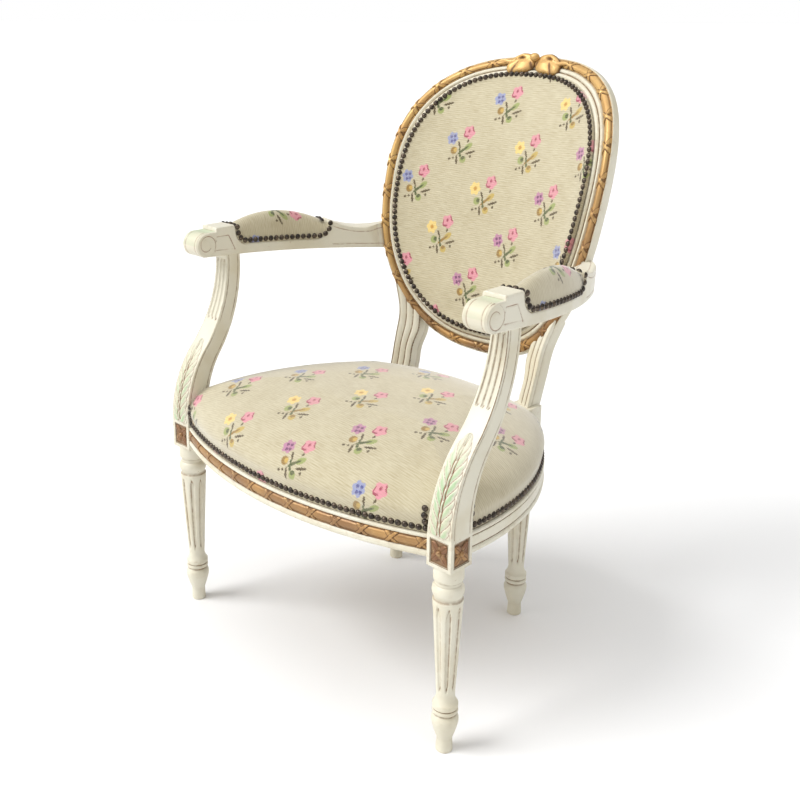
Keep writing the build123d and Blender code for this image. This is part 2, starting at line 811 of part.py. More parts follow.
# The dowel between arm and oval follows the bend's tangent where they meet
arm_joint_z = (arm_underside(arm_rear_y) + arm_end_z) / 2
arm_joint_up = (arm_joint_z - back_z) / cos(rake)
for _ in range(6):
    arm_joint_across = oval_at_up(arm_joint_up, 0)
    joint_height = straight_point(arm_joint_across, arm_joint_up, frame_middle_depth).Z
    arm_joint_up += (arm_joint_z - joint_height) / cos(rake)
arm_joint = straight_point(arm_joint_across, arm_joint_up, frame_middle_depth)
arm_joint_lean = asin(arm_joint_across / (bend_radius + frame_middle_depth))
arm_joint_run = Vector(cos(arm_joint_lean), 0, 0) + back_ahead * sin(arm_joint_lean)


def arm_dowels(gap):
    """The dowels between arms and oval, or their holes when a gap is given."""
    with BuildPart() as dowels:
        with Locations(Plane(origin=arm_joint, x_dir=back_up, z_dir=arm_joint_run)):
            Cylinder(joint_dowel_radius + gap, 2 * (joint_dowel_reach + gap))
        mirror(about=Plane.YZ)
    return dowels.part


support_head_z = arm_underside(support_top_y)


def support_head(gap, mode):
    """Round tenon on the support's head, or its socket when a gap is given."""
    with Locations((support_top_x, support_top_y, support_head_z)):
        Cylinder(arm_dowel_radius + gap, 2 * (arm_dowel_rise + gap), mode=mode)


with BuildPart() as arm:
    add(arm_blank.part)
    boss_plane = Plane(origin=(arm_front_x, scroll_y, scroll_z), x_dir=(0, 1, 0), z_dir=(1, 0, 0))
    with Locations(boss_plane):
        Cylinder(scroll_boss_radius, arm_width + 2 * scroll_boss_height)
    support_head(fit_gap, Mode.SUBTRACT)
    add(arm_dowels(fit_gap), mode=Mode.SUBTRACT)
save(arm, "arm_left")
save_mirrored(arm, "arm_right")


# Arm supports: a double curve in the side view, tapered in the front view
def double_curve(start, end, lower_turn):
    """Points of two arcs that leave start and reach end upright, meeting without a corner."""
    (y0, z0), (y1, z1) = start, end
    turn = 2 * atan2(y1 - y0, z1 - z0)
    upper_turn = (z1 - z0) / sin(turn) - lower_turn
    middle = (y0 + lower_turn * (1 - cos(turn)), z0 + lower_turn * sin(turn))
    lower = (y0 + lower_turn * (1 - cos(turn / 2)), z0 + lower_turn * sin(turn / 2))
    upper = (y1 - upper_turn * (1 - cos(turn / 2)), z1 - upper_turn * sin(turn / 2))
    return start, lower, middle, upper, end


support_foot_depth = block_width
support_top_front = support_top_y - support_top_depth / 2
support_top_rear = support_top_y + support_top_depth / 2


def support_form(bottom, front_grow, side_grow):
    """The left support's body from a height up, drawn out at the front and rear and at the sides."""
    head = support_head_z + support_top_depth
    foot_front = front_leg_y - support_foot_depth / 2 - front_grow
    foot_rear = front_leg_y + support_foot_depth / 2 + side_grow
    front_head = (support_top_front - front_grow, support_head_z)
    rear_head = (support_top_rear + side_grow, support_head_z)
    front = double_curve((foot_front, block_top), front_head, support_front_turn)
    rear = double_curve((foot_rear, rail_top), rear_head, support_rear_turn)
    foot_half = half_block + side_grow
    top_half = support_top_width / 2 + side_grow
    with BuildPart() as form:
        with BuildSketch(side_view) as side:
            with BuildLine() as profile:
                Line((foot_front, bottom), front[0])
                ThreePointArc(*front[0:3])
                ThreePointArc(*front[2:5])
                Polyline(front[4], (front[4][0], head), (rear[4][0], head), rear[4])
                ThreePointArc(*rear[4:1:-1])
                ThreePointArc(*rear[2::-1])
                Polyline(rear[0], (foot_rear, bottom), (foot_front, bottom))
            make_face(profile.edges())
        extrude(side.sketch, amount=arm_reach)
        with BuildSketch(Plane.XZ) as front_view:
            with BuildLine() as taper:
                Polyline(
                    (front_leg_x - foot_half, bottom),
                    (front_leg_x + foot_half, bottom),
                    (front_leg_x + foot_half, block_top),
                    (support_top_x + top_half, support_head_z),
                    (support_top_x + top_half, head),
                    (support_top_x - top_half, head),
                    (support_top_x - top_half, support_head_z),
                    (front_leg_x - foot_half, block_top),
                    (front_leg_x - foot_half, bottom),
                )
            make_face(taper.edges())
        extrude(front_view.sketch, amount=arm_reach, both=True, mode=Mode.INTERSECT)
    return form.part


with BuildPart() as support_body:
    add(support_form(rail_bottom, 0, 0))
    add(arm_blank.part, mode=Mode.SUBTRACT)
    split(bisect_by=Plane.XY.offset(block_top), keep=Keep.TOP)
    split(bisect_by=Plane.XY.offset(scroll_z - scroll_radius), keep=Keep.BOTTOM)

with BuildPart() as support:
    add(support_body.part)
    support_head(0, Mode.ADD)
    with Locations((front_leg_x, front_leg_y, block_top)):
        Cylinder(support_dowel_radius, 2 * support_dowel_reach)
save(support, "arm_support_left")
save_mirrored(support, "arm_support_right")

# Carved leaves on the front of the supports
leaf_middle = (leaf_bottom + leaf_top) / 2
leaf_lean = (support_top_x - front_leg_x) / (support_head_z - block_top)
with BuildPart() as leaves:
    add(support_form(rail_bottom, leaf_thickness, 0))
    add(support_form(rail_bottom, 0, 0), mode=Mode.SUBTRACT)
    with BuildSketch(Plane.XZ):
        with BuildLine():
            foot = (front_leg_x + leaf_lean * (leaf_bottom - block_top), leaf_bottom)
            tip = (front_leg_x + leaf_lean * (leaf_top - block_top), leaf_top)
            middle_x = (foot[0] + tip[0]) / 2
            for side in (-1, 1):
                ThreePointArc(foot, (middle_x + side * support_top_width / 2, leaf_middle), tip)
        make_face()
    extrude(amount=arm_reach, both=True, mode=Mode.INTERSECT)
    mirror(about=Plane.YZ)
save(leaves, "support_leaves")

# The four members of the oval back
with BuildPart() as back_top_rail:
    add(oval_frame.part)
    split(bisect_by=joint_plane(back_joint_up), keep=Keep.TOP)
    add(frame_dowels(fit_gap), mode=Mode.SUBTRACT)
save(back_top_rail, "back_top_rail")

with BuildPart() as back_bottom_rail:
    add(oval_frame.part)
    split(bisect_by=joint_plane(-back_joint_up), keep=Keep.BOTTOM)
    add(frame_dowels(fit_gap), mode=Mode.SUBTRACT)
    add(post_dowels(fit_gap), mode=Mode.SUBTRACT)
save(back_bottom_rail, "back_bottom_rail")

with BuildPart() as back_stile:
    add(oval_frame.part)
    split(bisect_by=joint_plane(back_joint_up), keep=Keep.BOTTOM)
    split(bisect_by=joint_plane(-back_joint_up), keep=Keep.TOP)
    split(bisect_by=Plane.YZ, keep=Keep.TOP)
    add(frame_dowels(fit_gap), mode=Mode.SUBTRACT)
    add(arm_dowels(fit_gap), mode=Mode.SUBTRACT)
save(back_stile, "back_stile_left")
save_mirrored(back_stile, "back_stile_right")

# Dowels, each group in one file
for dowels, name in (
    (frame_dowels(0), "back_frame_dowels"),
    (post_dowels(0), "back_post_dowels"),
    (arm_dowels(0), "arm_dowels"),
):
    with BuildPart() as dowel_group:
        add(dowels)
    save(dowel_group, name)

# Carved bow at the head of the oval, and the ribbon moulding that runs out from under it
bow_up = oval_half_height - bow_inset
with BuildPart() as bow_block:
    with BuildSketch(back_plane.offset(-oval_back_reach)):
        for side in (-1, 1):
            with Locations(Location((side * bow_lobe_length / 2, bow_up), -side * bow_lobe_droop)):
                Ellipse(bow_lobe_length / 2, bow_lobe_height / 2)
        with Locations((0, bow_up + bow_knot_radius)):
            Circle(bow_knot_radius)
    extrude(amount=oval_back_reach + oval_front_reach)

with BuildPart() as bow:
    add(bow_block.part)
    bend_slab(outer_step_depth - moulding_height - bow_proud, outer_step_depth)
    add(oval_frame.part, mode=Mode.SUBTRACT)
save(bow, "crest_bow")

with BuildPart() as ribbon:
    moulding_front = outer_step_depth - moulding_height
    add(oval_ring(moulding_inset, moulding_inset + moulding_width, moulding_front, outer_step_depth))
    add(bow_block.part, mode=Mode.SUBTRACT)
save(ribbon, "back_ribbon_moulding")

# Back upholstery, from the frame's ledge forwards: webbing, hessian, stuffing, cover
lining_inset = back_cover_inset + cover_thickness + soft_gap
web_depth = -ledge_proud


def back_straps(layer, strap_width, strap_height, step_across, step_up):
    """Three straps of the back's webbing, side by side in one layer."""
    front = web_depth - (layer + 1) * webbing_thickness
    with BuildPart() as straps:
        oval_prism(lining_inset)
        bend_slab(front, front + webbing_thickness)
        with BuildSketch(back_plane.offset(-oval_back_reach)) as strips:
            with Locations(*[(step * step_across, step * step_up) for step in (-1, 0, 1)]):
                Rectangle(strap_width, strap_height)
        extrude(strips.sketch, amount=oval_back_reach + oval_front_reach, mode=Mode.INTERSECT)
    return straps.part


with BuildPart() as back_webbing:
    add(back_straps(0, webbing_width, 2 * oval_half_height, back_webbing_gap, 0))
    add(back_straps(1, 2 * oval_half_width, webbing_width, 0, back_webbing_gap))
save(back_webbing, "back_webbing")

hessian_back = web_depth - 2 * webbing_thickness - soft_gap
hessian_front = hessian_back - hessian_thickness
with BuildPart() as back_hessian:
    add(oval_sheet(lining_inset, hessian_front, hessian_back))
save(back_hessian, "back_hessian")


def back_bowl(drop):
    """The pad's face as a ring's inner side: ahead of its centre, hollow radius, full radius."""
    crown, rim = back_crown - drop, back_rim - drop
    edge_across = max(oval_at(pi * i / oval_arcs, back_cover_inset)[0] for i in range(oval_arcs))
    edge_up = oval_half_height - back_cover_inset
    edge_reach = bend_radius - ledge_proud - rim
    hollow = bend_radius - sqrt(edge_reach**2 - edge_across**2) - ledge_proud - crown
    hollow_radius = (edge_across**2 + hollow**2) / (2 * hollow)
    full_radius = (edge_up**2 + (crown - rim) ** 2) / (2 * (crown - rim))
    return ledge_proud + crown + hollow_radius, hollow_radius, full_radius


def back_form(inset, drop):
    """Crowned pad on the ledge: hollow across, full up and down, drawn down to its rim."""
    ahead, hollow_radius, full_radius = back_bowl(drop)
    centre = back_origin + back_ahead * ahead
    with BuildPart() as form:
        oval_prism(inset)
        bend_slab(-bend_radius / 2, -ledge_proud)
        with Locations(Plane(origin=centre, x_dir=(1, 0, 0), z_dir=back_up)):
            Torus(hollow_radius + full_radius, full_radius, mode=Mode.INTERSECT)
    return form.part


with BuildPart() as back_cover:
    add(back_form(back_cover_inset, 0))
    add(back_form(back_cover_inset + cover_thickness, cover_thickness), mode=Mode.SUBTRACT)
save(back_cover, "back_cover")

with BuildPart() as back_stuffing:
    add(back_form(lining_inset, cover_thickness + soft_gap))
    bend_slab(-bend_radius / 2, hessian_front)
save(back_stuffing, "back_stuffing")

with BuildPart() as outside_cover:
    add(oval_sheet(outside_cover_inset, frame_depth, frame_depth + outside_cover_thickness))
save(outside_cover, "outside_back_cover")

# Spaces that the seat's soft layers leave for the supports and the rear posts
notch_top = support_head_z
with BuildPart() as notches:
    add(support_form(rail_bottom, soft_gap, soft_gap))
    notch_width = rear_block_width + 2 * soft_gap
    with Locations((rear_leg_x, rear_leg_y - notch_width / 2, rail_bottom)):
        Box(notch_width, 3 * notch_width, notch_top - rail_bottom, align=(Align.CENTER, Align.MIN, Align.MIN))
    mirror(about=Plane.YZ)

# Seat upholstery: webbing on the rails, hessian, stuffing and cover
seat_lining_inset = rail_setback + 2 * soft_gap
seat_span = 4 * front_leg_x
seat_middle_y = (front_leg_y + rear_leg_y) / 2


def seat_straps(layer, strap_width, strap_length, step_x, step_y, name):
    """Four straps of the seat's webbing, stretched over the rails in one layer."""
    with BuildPart() as straps:
        with BuildSketch(Plane.XY.offset(rail_top + layer * webbing_thickness)) as plan:
            steps = (-1.5, -0.5, 0.5, 1.5)
            with Locations(*[(step * step_x, seat_middle_y + step * step_y) for step in steps]):
                Rectangle(strap_width, strap_length)
        extrude(plan.sketch, amount=webbing_thickness)
        with BuildSketch(Plane.XY.offset(rail_top)) as limit:
            seat_outline(seat_lining_inset)
        extrude(limit.sketch, amount=3 * webbing_thickness, mode=Mode.INTERSECT)
        add(notches.part, mode=Mode.SUBTRACT)
    save(straps, name)


seat_straps(0, webbing_width, seat_span, seat_webbing_gap, 0, "seat_webbing_lengthwise")
seat_straps(1, seat_span, webbing_width, 0, seat_webbing_gap, "seat_webbing_crosswise")

seat_hessian_z = rail_top + 2 * webbing_thickness
with BuildPart() as seat_hessian:
    with BuildSketch(Plane.XY.offset(seat_hessian_z)):
        seat_outline(seat_lining_inset)
    extrude(amount=hessian_thickness)
    add(notches.part, mode=Mode.SUBTRACT)
save(seat_hessian, "seat_hessian")

skirt_inset = rail_setback - cover_thickness
skirt_bottom = rail_ledge + seat_skirt_lift
seat_sections = [(skirt_bottom, skirt_inset), (rail_top, skirt_inset)]
seat_sections += list(zip(seat_crown_heights, seat_crown_insets))


def seat_form(drop):
    """Crowned seat, drawn in at the nails, or the space inside its cover when a drop is given."""
    with BuildPart() as form:
        sections = []
        for height, inset in seat_sections:
            level = height - drop if height > rail_top else height
            level = rail_ledge if drop and height == skirt_bottom else level
            with BuildSketch(Plane.XY.offset(level)) as section:
                seat_outline(inset + drop)
            sections.append(section.sketch)
        loft(sections, ruled=True)
    return form.part


with BuildPart() as seat_cover:
    add(seat_form(0))
    add(seat_form(cover_thickness), mode=Mode.SUBTRACT)
    add(notches.part, mode=Mode.SUBTRACT)
save(seat_cover, "seat_cover")

with BuildPart() as seat_stuffing:
    add(seat_form(cover_thickness + soft_gap))
    split(bisect_by=Plane.XY.offset(seat_hessian_z + hessian_thickness), keep=Keep.TOP)
    add(notches.part, mode=Mode.SUBTRACT)
save(seat_stuffing, "seat_stuffing")


# Arm pads: a loft of round-topped sections along the arm, cut to the dish
def pad_heights(y):
    """Shoulder and crown heights of the pad at y."""
    share = (y - pad_front_y) / (pad_rear_y - pad_front_y)
    swell = 1 - (2 * share - 1) ** 2
    crown = pad_front_z + (pad_rear_z - pad_front_z) * share + pad_rise * swell
    return crown - pad_end_round - pad_round * swell, crown


def pad_top(y, offset):
    """Height of the pad's top at y, an offset to one side of the arm's middle line."""
    shoulder, crown = pad_heights(y)
    rise = crown - shoulder
    radius = ((arm_width / 2) ** 2 + rise**2) / (2 * rise)
    return crown - radius + sqrt(radius**2 - offset**2)


pad_station_count = 7
pad_floor_z = dish_rear_z - dish_run


def pad_form(drop):
    """The whole pad, or the space inside its cover when a drop is given."""
    start, end = pad_front_y + drop, pad_rear_y - drop
    half = arm_width / 2 - drop
    with BuildPart() as form:
        sections = []
        for i in range(pad_station_count):
            y = start + (end - start) * i / (pad_station_count - 1)
            lean = asin(max(0, y - arm_turn_y) / arm_turn_radius)
            shoulder, crown = pad_heights(y)
            along, square = (-sin(lean), cos(lean), 0), (-cos(lean), -sin(lean), 0)
            left, right = (half, shoulder - drop), (-half, shoulder - drop)
            with BuildSketch(Plane(origin=(arm_centre(y), y, 0), x_dir=square, z_dir=along)) as section:
                with BuildLine() as outline:
                    Polyline(left, (half, pad_floor_z), (-half, pad_floor_z), right)
                    ThreePointArc(right, (0, crown - drop), left)
                make_face(outline.edges())
            sections.append(section.sketch)
        loft(sections)
        add(dish_space.part, mode=Mode.INTERSECT)
    return form.part


with BuildPart() as pad_stuffing:
    add(pad_form(cover_thickness + soft_gap))
save(pad_stuffing, "arm_pad_stuffing_left")
save_mirrored(pad_stuffing, "arm_pad_stuffing_right")

with BuildPart() as pad_cover:
    add(pad_form(0))
    add(pad_form(cover_thickness), mode=Mode.SUBTRACT)
save(pad_cover, "arm_pad_cover_left")
save_mirrored(pad_cover, "arm_pad_cover_right")

# Domed nails
cap_radius = ((nail_diameter / 2) ** 2 + nail_height**2) / (2 * nail_height)
with BuildPart() as nail:
    with Locations((0, 0, nail_height - cap_radius)):
        Sphere(cap_radius)
    split(bisect_by=Plane.XY, keep=Keep.TOP)


def nail_group(planes, name, twin=None):
    """Write nails standing on a list of planes as one group of solids."""
    with BuildPart() as group:
        with Locations(*planes):
            add(nail.part)
    save(group, name)
    if twin:
        save_mirrored(group, twin)


def walk(points, pitch):
    """Points spaced evenly along a chain of points, about a pitch apart, ends included."""
    lengths = [dist(a, b) for a, b in zip(points, points[1:])]
    count = floor(sum(lengths) / pitch)
    step = sum(lengths) / count
    spaced = []
    for i in range(count + 1):
        left = i * step
        for a, b, length in zip(points, points[1:], lengths):
            if left <= length or b == points[-1]:
                share = min(1, left / length)
                spaced.append(tuple(p + (q - p) * share for p, q in zip(a, b)))
                break
            left -= length
    return spaced


def outward(origin, normal):
    """Plane for a nail that stands on a point, a hair clear of the cloth."""
    normal = Vector(*normal).normalized()
    return Plane(origin=Vector(*origin) + normal * soft_gap / 2, z_dir=normal)


def arc_points(circle, start, end, steps=60):
    """Points along a circle between two angles."""
    (cx, cy), radius = circle
    angles = [start + (end - start) * i / steps for i in range(steps + 1)]
    return [(cx + radius * cos(a), cy + radius * sin(a)) for a in angles]


def circle_nails(circle, start, end):
    """Planes of nails along an arc of a rail."""
    (cx, cy), _ = circle
    spots = walk(arc_points(circle, start, end), nail_pitch)
    return [outward((x, y, seat_nail_height), (x - cx, y - cy, 0)) for x, y in spots]


def seat_inset_at(height):
    """How far the seat's side lies inside the rails' faces at a height."""
    for (z0, inset0), (z1, inset1) in zip(seat_sections, seat_sections[1:]):
        if z0 <= height <= z1:
            return inset0 + (inset1 - inset0) * (height - z0) / (z1 - z0)


nail_room = nail_diameter / 2 + 2 * soft_gap
front_nails = inset_circle(front_circle, skirt_inset)
front_sweep = asin((front_end[0] - nail_room) / front_nails[1])
nail_group(circle_nails(front_nails, -pi / 2 - front_sweep, -pi / 2 + front_sweep), "seat_nails_front")

side_nails = inset_circle(side_circle, skirt_inset)
side_start = asin((side_front_end[1] + nail_room - side_nails[0][1]) / side_nails[1])
side_last_x = side_rear_end[0] + nail_room
side_end = atan2(side_y(side_last_x, skirt_inset) - side_nails[0][1], side_last_x - side_nails[0][0])
nail_group(circle_nails(side_nails, side_start, side_end), "seat_nails_left", "seat_nails_right")

rear_nails = inset_circle(rear_circle, skirt_inset)
rear_sweep = asin((rear_end[0] - nail_room) / rear_nails[1])
nail_group(circle_nails(rear_nails, pi / 2 - rear_sweep, pi / 2 + rear_sweep), "seat_nails_rear")


def support_rear_y(height):
    """Y of the support's rear edge at a height on its lower curve."""
    rise = max(0, height - rail_top)
    return side_front_end[1] + support_rear_turn - sqrt(support_rear_turn**2 - rise**2)


support_nail_planes = []
for i in range(1, support_nail_count + 1):
    level = seat_nail_height + i * nail_pitch
    inset = min(seat_inset_at(level + step * nail_diameter / 2) for step in (-1, 0, 1)) - soft_gap
    x = front_end[0] - nail_room
    y = front_y(x, inset)
    support_nail_planes.append(outward((x, y, level), (x, y - front_circle[0][1], 0)))
    y = support_rear_y(level + nail_room) + nail_room
    x = side_x(y, inset)
    support_nail_planes.append(outward((x, y, level), (x - side_circle[0][0], y - side_circle[0][1], 0)))
nail_group(support_nail_planes, "support_nails_left", "support_nails_right")


def oval_chain(inset, place):
    """Spots a nail's pitch apart round the oval, as the function given places them."""
    steps = 16 * oval_arcs
    chain = [tuple(place(*oval_at(2 * pi * i / steps, inset))) for i in range(steps + 1)]
    return walk(chain, nail_pitch)[:-1]


bowl_ahead, bowl_hollow, bowl_full = back_bowl(0)


def bowl_reach(up):
    """Distance of the pad's face from the bowl's axis at a height up the rake."""
    return bowl_hollow + bowl_full - sqrt(bowl_full**2 - up**2)


def bowl_point(across, up):
    """Across, up and ahead of a point on the pad's face."""
    return across, up, bowl_ahead - sqrt(bowl_reach(up) ** 2 - across**2)


back_nail_planes = []
for across, up, ahead in oval_chain(back_nail_inset, bowl_point):
    reach = bowl_reach(up)
    draw = (bowl_hollow + bowl_full - reach) / reach
    spot = back_origin + Vector(across, 0, 0) + back_up * up + back_ahead * ahead
    normal = Vector(-across * draw, 0, 0) + back_up * up + back_ahead * (bowl_ahead - ahead) * draw
    back_nail_planes.append(outward(tuple(spot), tuple(normal)))
nail_group(back_nail_planes, "back_nails")

outside_depth = frame_depth + outside_cover_thickness
outside_nail_planes = []
for spot in oval_chain(back_nail_inset, lambda across, up: straight_point(across, up, outside_depth)):
    lean = asin(spot[0] / (bend_radius + outside_depth))
    outside_nail_planes.append(outward(spot, tuple(Vector(sin(lean), 0, 0) - back_ahead * cos(lean))))
nail_group(outside_nail_planes, "outside_back_nails")

# Arm pad nails follow the dish on both sides and close each end of the pad
dish_lift = nail_diameter / 2 + soft_gap
quarter = [i / 6 * pi / 2 for i in range(7)]
nail_run = dish_run - dish_lift
front_drop = pad_front_z - dish_front_z - dish_lift
rear_drop = pad_rear_z - dish_rear_z - dish_lift
dish_chain = [(dish_front_y - nail_run * cos(a), pad_front_z - front_drop * sin(a)) for a in quarter]
dish_chain += [(dish_rear_y + nail_run * sin(a), pad_rear_z - rear_drop * cos(a)) for a in quarter]
arm_turn_x = arm_front_x - arm_turn_radius
pad_nail_planes = []
for y, z in walk(dish_chain, nail_pitch):
    for side in (-1, 1):
        reach = arm_turn_radius + side * arm_width / 2
        x = arm_turn_x + sqrt(reach**2 - (y - arm_turn_y) ** 2)
        pad_nail_planes.append(outward((x, y, z), (side * (x - arm_turn_x), side * (y - arm_turn_y), 0)))
for y in (pad_front_y + nail_room, pad_rear_y - 2 * nail_room):
    lean = asin((y - arm_turn_y) / arm_turn_radius)
    slope = (pad_top(y + nail_room, 0) - pad_top(y - nail_room, 0)) / (2 * nail_room)
    for offset in (-nail_pitch, 0, nail_pitch):
        tilt = (pad_top(y, offset + 1) - pad_top(y, offset - 1)) / 2
        x, spot_y = arm_turn_point(y, offset)
        normal = (slope * sin(lean) - tilt * cos(lean), -slope * cos(lean) - tilt * sin(lean), 1)
        pad_nail_planes.append(outward((x, spot_y, pad_top(y, offset) + soft_gap), normal))
nail_group(pad_nail_planes, "arm_pad_nails_left", "arm_pad_nails_right")
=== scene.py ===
"""Looks of a cream and gilt armchair with an oval back and needlepoint covers.

Left is the sitter's left, +X. The sitter faces -Y. Sizes and places are in metres.
"""

import logging
import math
from dataclasses import dataclass, field
from enum import Enum
from functools import partial
from typing import Callable, NamedTuple, Sequence

import bmesh
import bpy
import numpy as np
from mathutils import Matrix, Vector


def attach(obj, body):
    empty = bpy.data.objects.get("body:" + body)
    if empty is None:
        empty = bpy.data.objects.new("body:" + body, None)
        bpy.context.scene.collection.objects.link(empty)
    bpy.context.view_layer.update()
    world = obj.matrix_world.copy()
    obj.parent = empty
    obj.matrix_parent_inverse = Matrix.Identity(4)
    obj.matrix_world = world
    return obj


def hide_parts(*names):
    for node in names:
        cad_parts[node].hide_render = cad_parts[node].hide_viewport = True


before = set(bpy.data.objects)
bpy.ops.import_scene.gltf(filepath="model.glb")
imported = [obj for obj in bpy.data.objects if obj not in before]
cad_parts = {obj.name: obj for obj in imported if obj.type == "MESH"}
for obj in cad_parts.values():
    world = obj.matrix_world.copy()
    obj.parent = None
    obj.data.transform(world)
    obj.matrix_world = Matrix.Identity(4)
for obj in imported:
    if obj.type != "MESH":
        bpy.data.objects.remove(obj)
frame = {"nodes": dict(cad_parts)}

LOG = logging.getLogger("armchair")
BODY = "root"

Colour = tuple[float, float, float]
Flat = tuple[float, float]


class Slot(Enum):
    """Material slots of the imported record."""

    PAINT = "cream_paint"
    GILT = "gilding"
    CLOTH = "needlepoint"
    NAIL = "antique_nails"
    STUFF = "jute_and_stuffing"
    BEECH = "raw_beech"


class Side(Enum):
    """The sitter's left and right, as a factor on X."""

    LEFT = 1
    RIGHT = -1

    @property
    def tail(self) -> str:
        """The ending of a piece's name on this side."""
        return "left" if self is Side.LEFT else "right"


class Spot(NamedTuple):
    """One vertex of a surface, with its painted masks."""

    place: Vector
    wash: float = 0.0
    tint_and_shade: float = 0.0


def clamp(value: float, low: float = 0.0, high: float = 1.0) -> float:
    """The value, kept between two limits."""
    return max(low, min(high, value))


def ease(value: float) -> float:
    """A smooth step from 0 to 1."""
    share = clamp(value)
    return share * share * (3 - 2 * share)


def blend(first: float, second: float, share: float) -> float:
    """A value part of the way from the first to the second."""
    return first + (second - first) * share


def ridge(distance: float, width: float) -> float:
    """A round-topped bump of height 1 that ends at a distance of one width."""
    return math.cos(clamp(abs(distance) / width) * math.pi) / 2 + 0.5


def arc(start: Flat, middle: Flat, end: Flat, steps: int) -> list[Flat]:
    """Points along the circle through three points.

    Args:
        start: First point.
        middle: A point on the way.
        end: Last point.
        steps: Number of steps between first and last.

    Returns:
        The points, ends included.
    """
    (ax, ay), (bx, by), (cx, cy) = start, middle, end
    area = 2 * (ax * (by - cy) + bx * (cy - ay) + cx * (ay - by))
    a2, b2, c2 = ax * ax + ay * ay, bx * bx + by * by, cx * cx + cy * cy
    ox = (a2 * (by - cy) + b2 * (cy - ay) + c2 * (ay - by)) / area
    oy = (a2 * (cx - bx) + b2 * (ax - cx) + c2 * (bx - ax)) / area
    radius = math.hypot(ax - ox, ay - oy)
    first = math.atan2(ay - oy, ax - ox)
    half = math.remainder(math.atan2(by - oy, bx - ox) - first, math.tau)
    rest = math.remainder(math.atan2(cy - oy, cx - ox) - first - half, math.tau)
    turns = [first + (half + rest) * i / steps for i in range(steps + 1)]
    return [(ox + radius * math.cos(t), oy + radius * math.sin(t)) for t in turns]


class Shell:
    """A mesh in the making, with a cloth map and painted masks."""

    MERGE = 2e-6
    BEND_GAIN = 2.4

    def __init__(self) -> None:
        """Start an empty mesh."""
        self.bm = bmesh.new()
        self.cloth = self.bm.loops.layers.uv.new("cloth")
        # The wash mask: brown patina in the hollows of the paint and gilt; on the needlepoint it gives
        # painted shade in the cloth's hollows and creases.
        self.wash = self.bm.verts.layers.float.new("wash")
        # The tint mask lays a second colour over a finish: the leaf's green, the gilt's copper-brown and
        # the plain cloth without sprigs; on the oval's gilt ribbon it carries painted shade.
        self.tint_and_shade = self.bm.verts.layers.float.new("tint_and_shade")
        self.edge = self.bm.verts.layers.float.new("edge")

    def patch(
        self,
        across: int,
        along: int,
        place: Callable[[float, float], Spot],
        cloth: Callable[[float, float], Flat] | None = None,
    ) -> None:
        """Add a grid whose vertices are moved to where a function puts them.

        Args:
            across: Segments in the first direction.
            along: Segments in the second direction.
            place: Gives the spot at two shares from 0 to 1.
            cloth: Gives the place on the flat cloth at the same shares.
        """
        made = bmesh.ops.create_grid(self.bm, x_segments=across, y_segments=along, size=0.5)
        for vert in made["verts"]:
            u, v = clamp(vert.co.x + 0.5), clamp(vert.co.y + 0.5)
            if cloth:
                for loop in vert.link_loops:
                    loop[self.cloth].uv = cloth(u, v)
            spot = place(u, v)
            vert.co = spot.place
            vert[self.wash] = spot.wash
            vert[self.tint_and_shade] = spot.tint_and_shade

    def sweep(self, stations: int, ring: Sequence[tuple], place: Callable[[float, tuple], Spot]) -> None:
        """Add a surface that carries a closed ring of section points along its stations."""
        count = len(ring)
        self.patch(stations, count, lambda u, v: place(u, ring[round(v * count) % count]))

    def ball(self, matrix: Matrix, segments: int = 24, tint_and_shade: float = 0.0) -> None:
        """Add a sphere of radius 1 under a matrix."""
        made = bmesh.ops.create_uvsphere(
            self.bm, u_segments=segments, v_segments=segments // 2, radius=1, matrix=matrix
        )
        for vert in made["verts"]:
            vert[self.tint_and_shade] = tint_and_shade

    def merge(self) -> None:
        """Merge seams and poles."""
        bmesh.ops.remove_doubles(self.bm, verts=self.bm.verts, dist=self.MERGE)

    def area(self) -> float:
        """Area of all faces."""
        return sum(face.calc_area() for face in self.bm.faces)

    def close(self) -> None:
        """Merge seams and poles, and fill the open ends."""
        self.merge()
        bmesh.ops.dissolve_degenerate(self.bm, edges=self.bm.edges, dist=self.MERGE)
        rims = [edge for edge in self.bm.edges if edge.is_boundary]
        if rims:
            bmesh.ops.holes_fill(self.bm, edges=rims, sides=0)

    def carry(self, side: Side) -> None:
        """Carry a mesh that was built on the left to a side."""
        bmesh.ops.scale(self.bm, vec=(side.value, 1, 1), verts=self.bm.verts)

    def age(self) -> None:
        """Paint hollows and edges into the masks from the mesh's own bends."""
        self.bm.normal_update()
        for vert in self.bm.verts:
            if not vert.link_edges:
                continue
            bends = [
                (rim.other_vert(vert).co - vert.co).normalized().dot(vert.normal)
                for rim in vert.link_edges
            ]
            bend = self.BEND_GAIN * sum(bends) / len(bends)
            vert[self.wash] = max(vert[self.wash], clamp(bend))
            vert[self.edge] = clamp(-bend)

    def piece(
        self,
        name: str,
        finish: bpy.types.Material,
        slot: Slot,
        nodes: Sequence[str] = (),
        crease: float = 38,
        shut: bool = True,
    ) -> bpy.types.Object:
        """Make the finished object, ride it on the frame and hide what it stands for.

        Args:
            name: The piece's name.
            finish: Its material.
            slot: Not used.
            nodes: CAD nodes that it replaces.
            crease: Angle in degrees above which an edge is drawn sharp.
            shut: Whether open ends are filled.

        Returns:
            The new object.
        """
        if shut:
            self.close()
        bmesh.ops.recalc_face_normals(self.bm, faces=self.bm.faces)
        self.age()
        mesh = bpy.data.meshes.new(name)
        self.bm.to_mesh(mesh)
        self.bm.free()
        mesh.shade_smooth()
        mesh.set_sharp_from_angle(angle=math.radians(crease))
        mesh.materials.append(finish)
        made = bpy.data.objects.new(name, mesh)
        bpy.context.scene.collection.objects.link(made)
        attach(made, BODY)
        if nodes:
            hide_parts(*nodes)
        LOG.info("%s: %d faces", name, len(mesh.polygons))
        return made


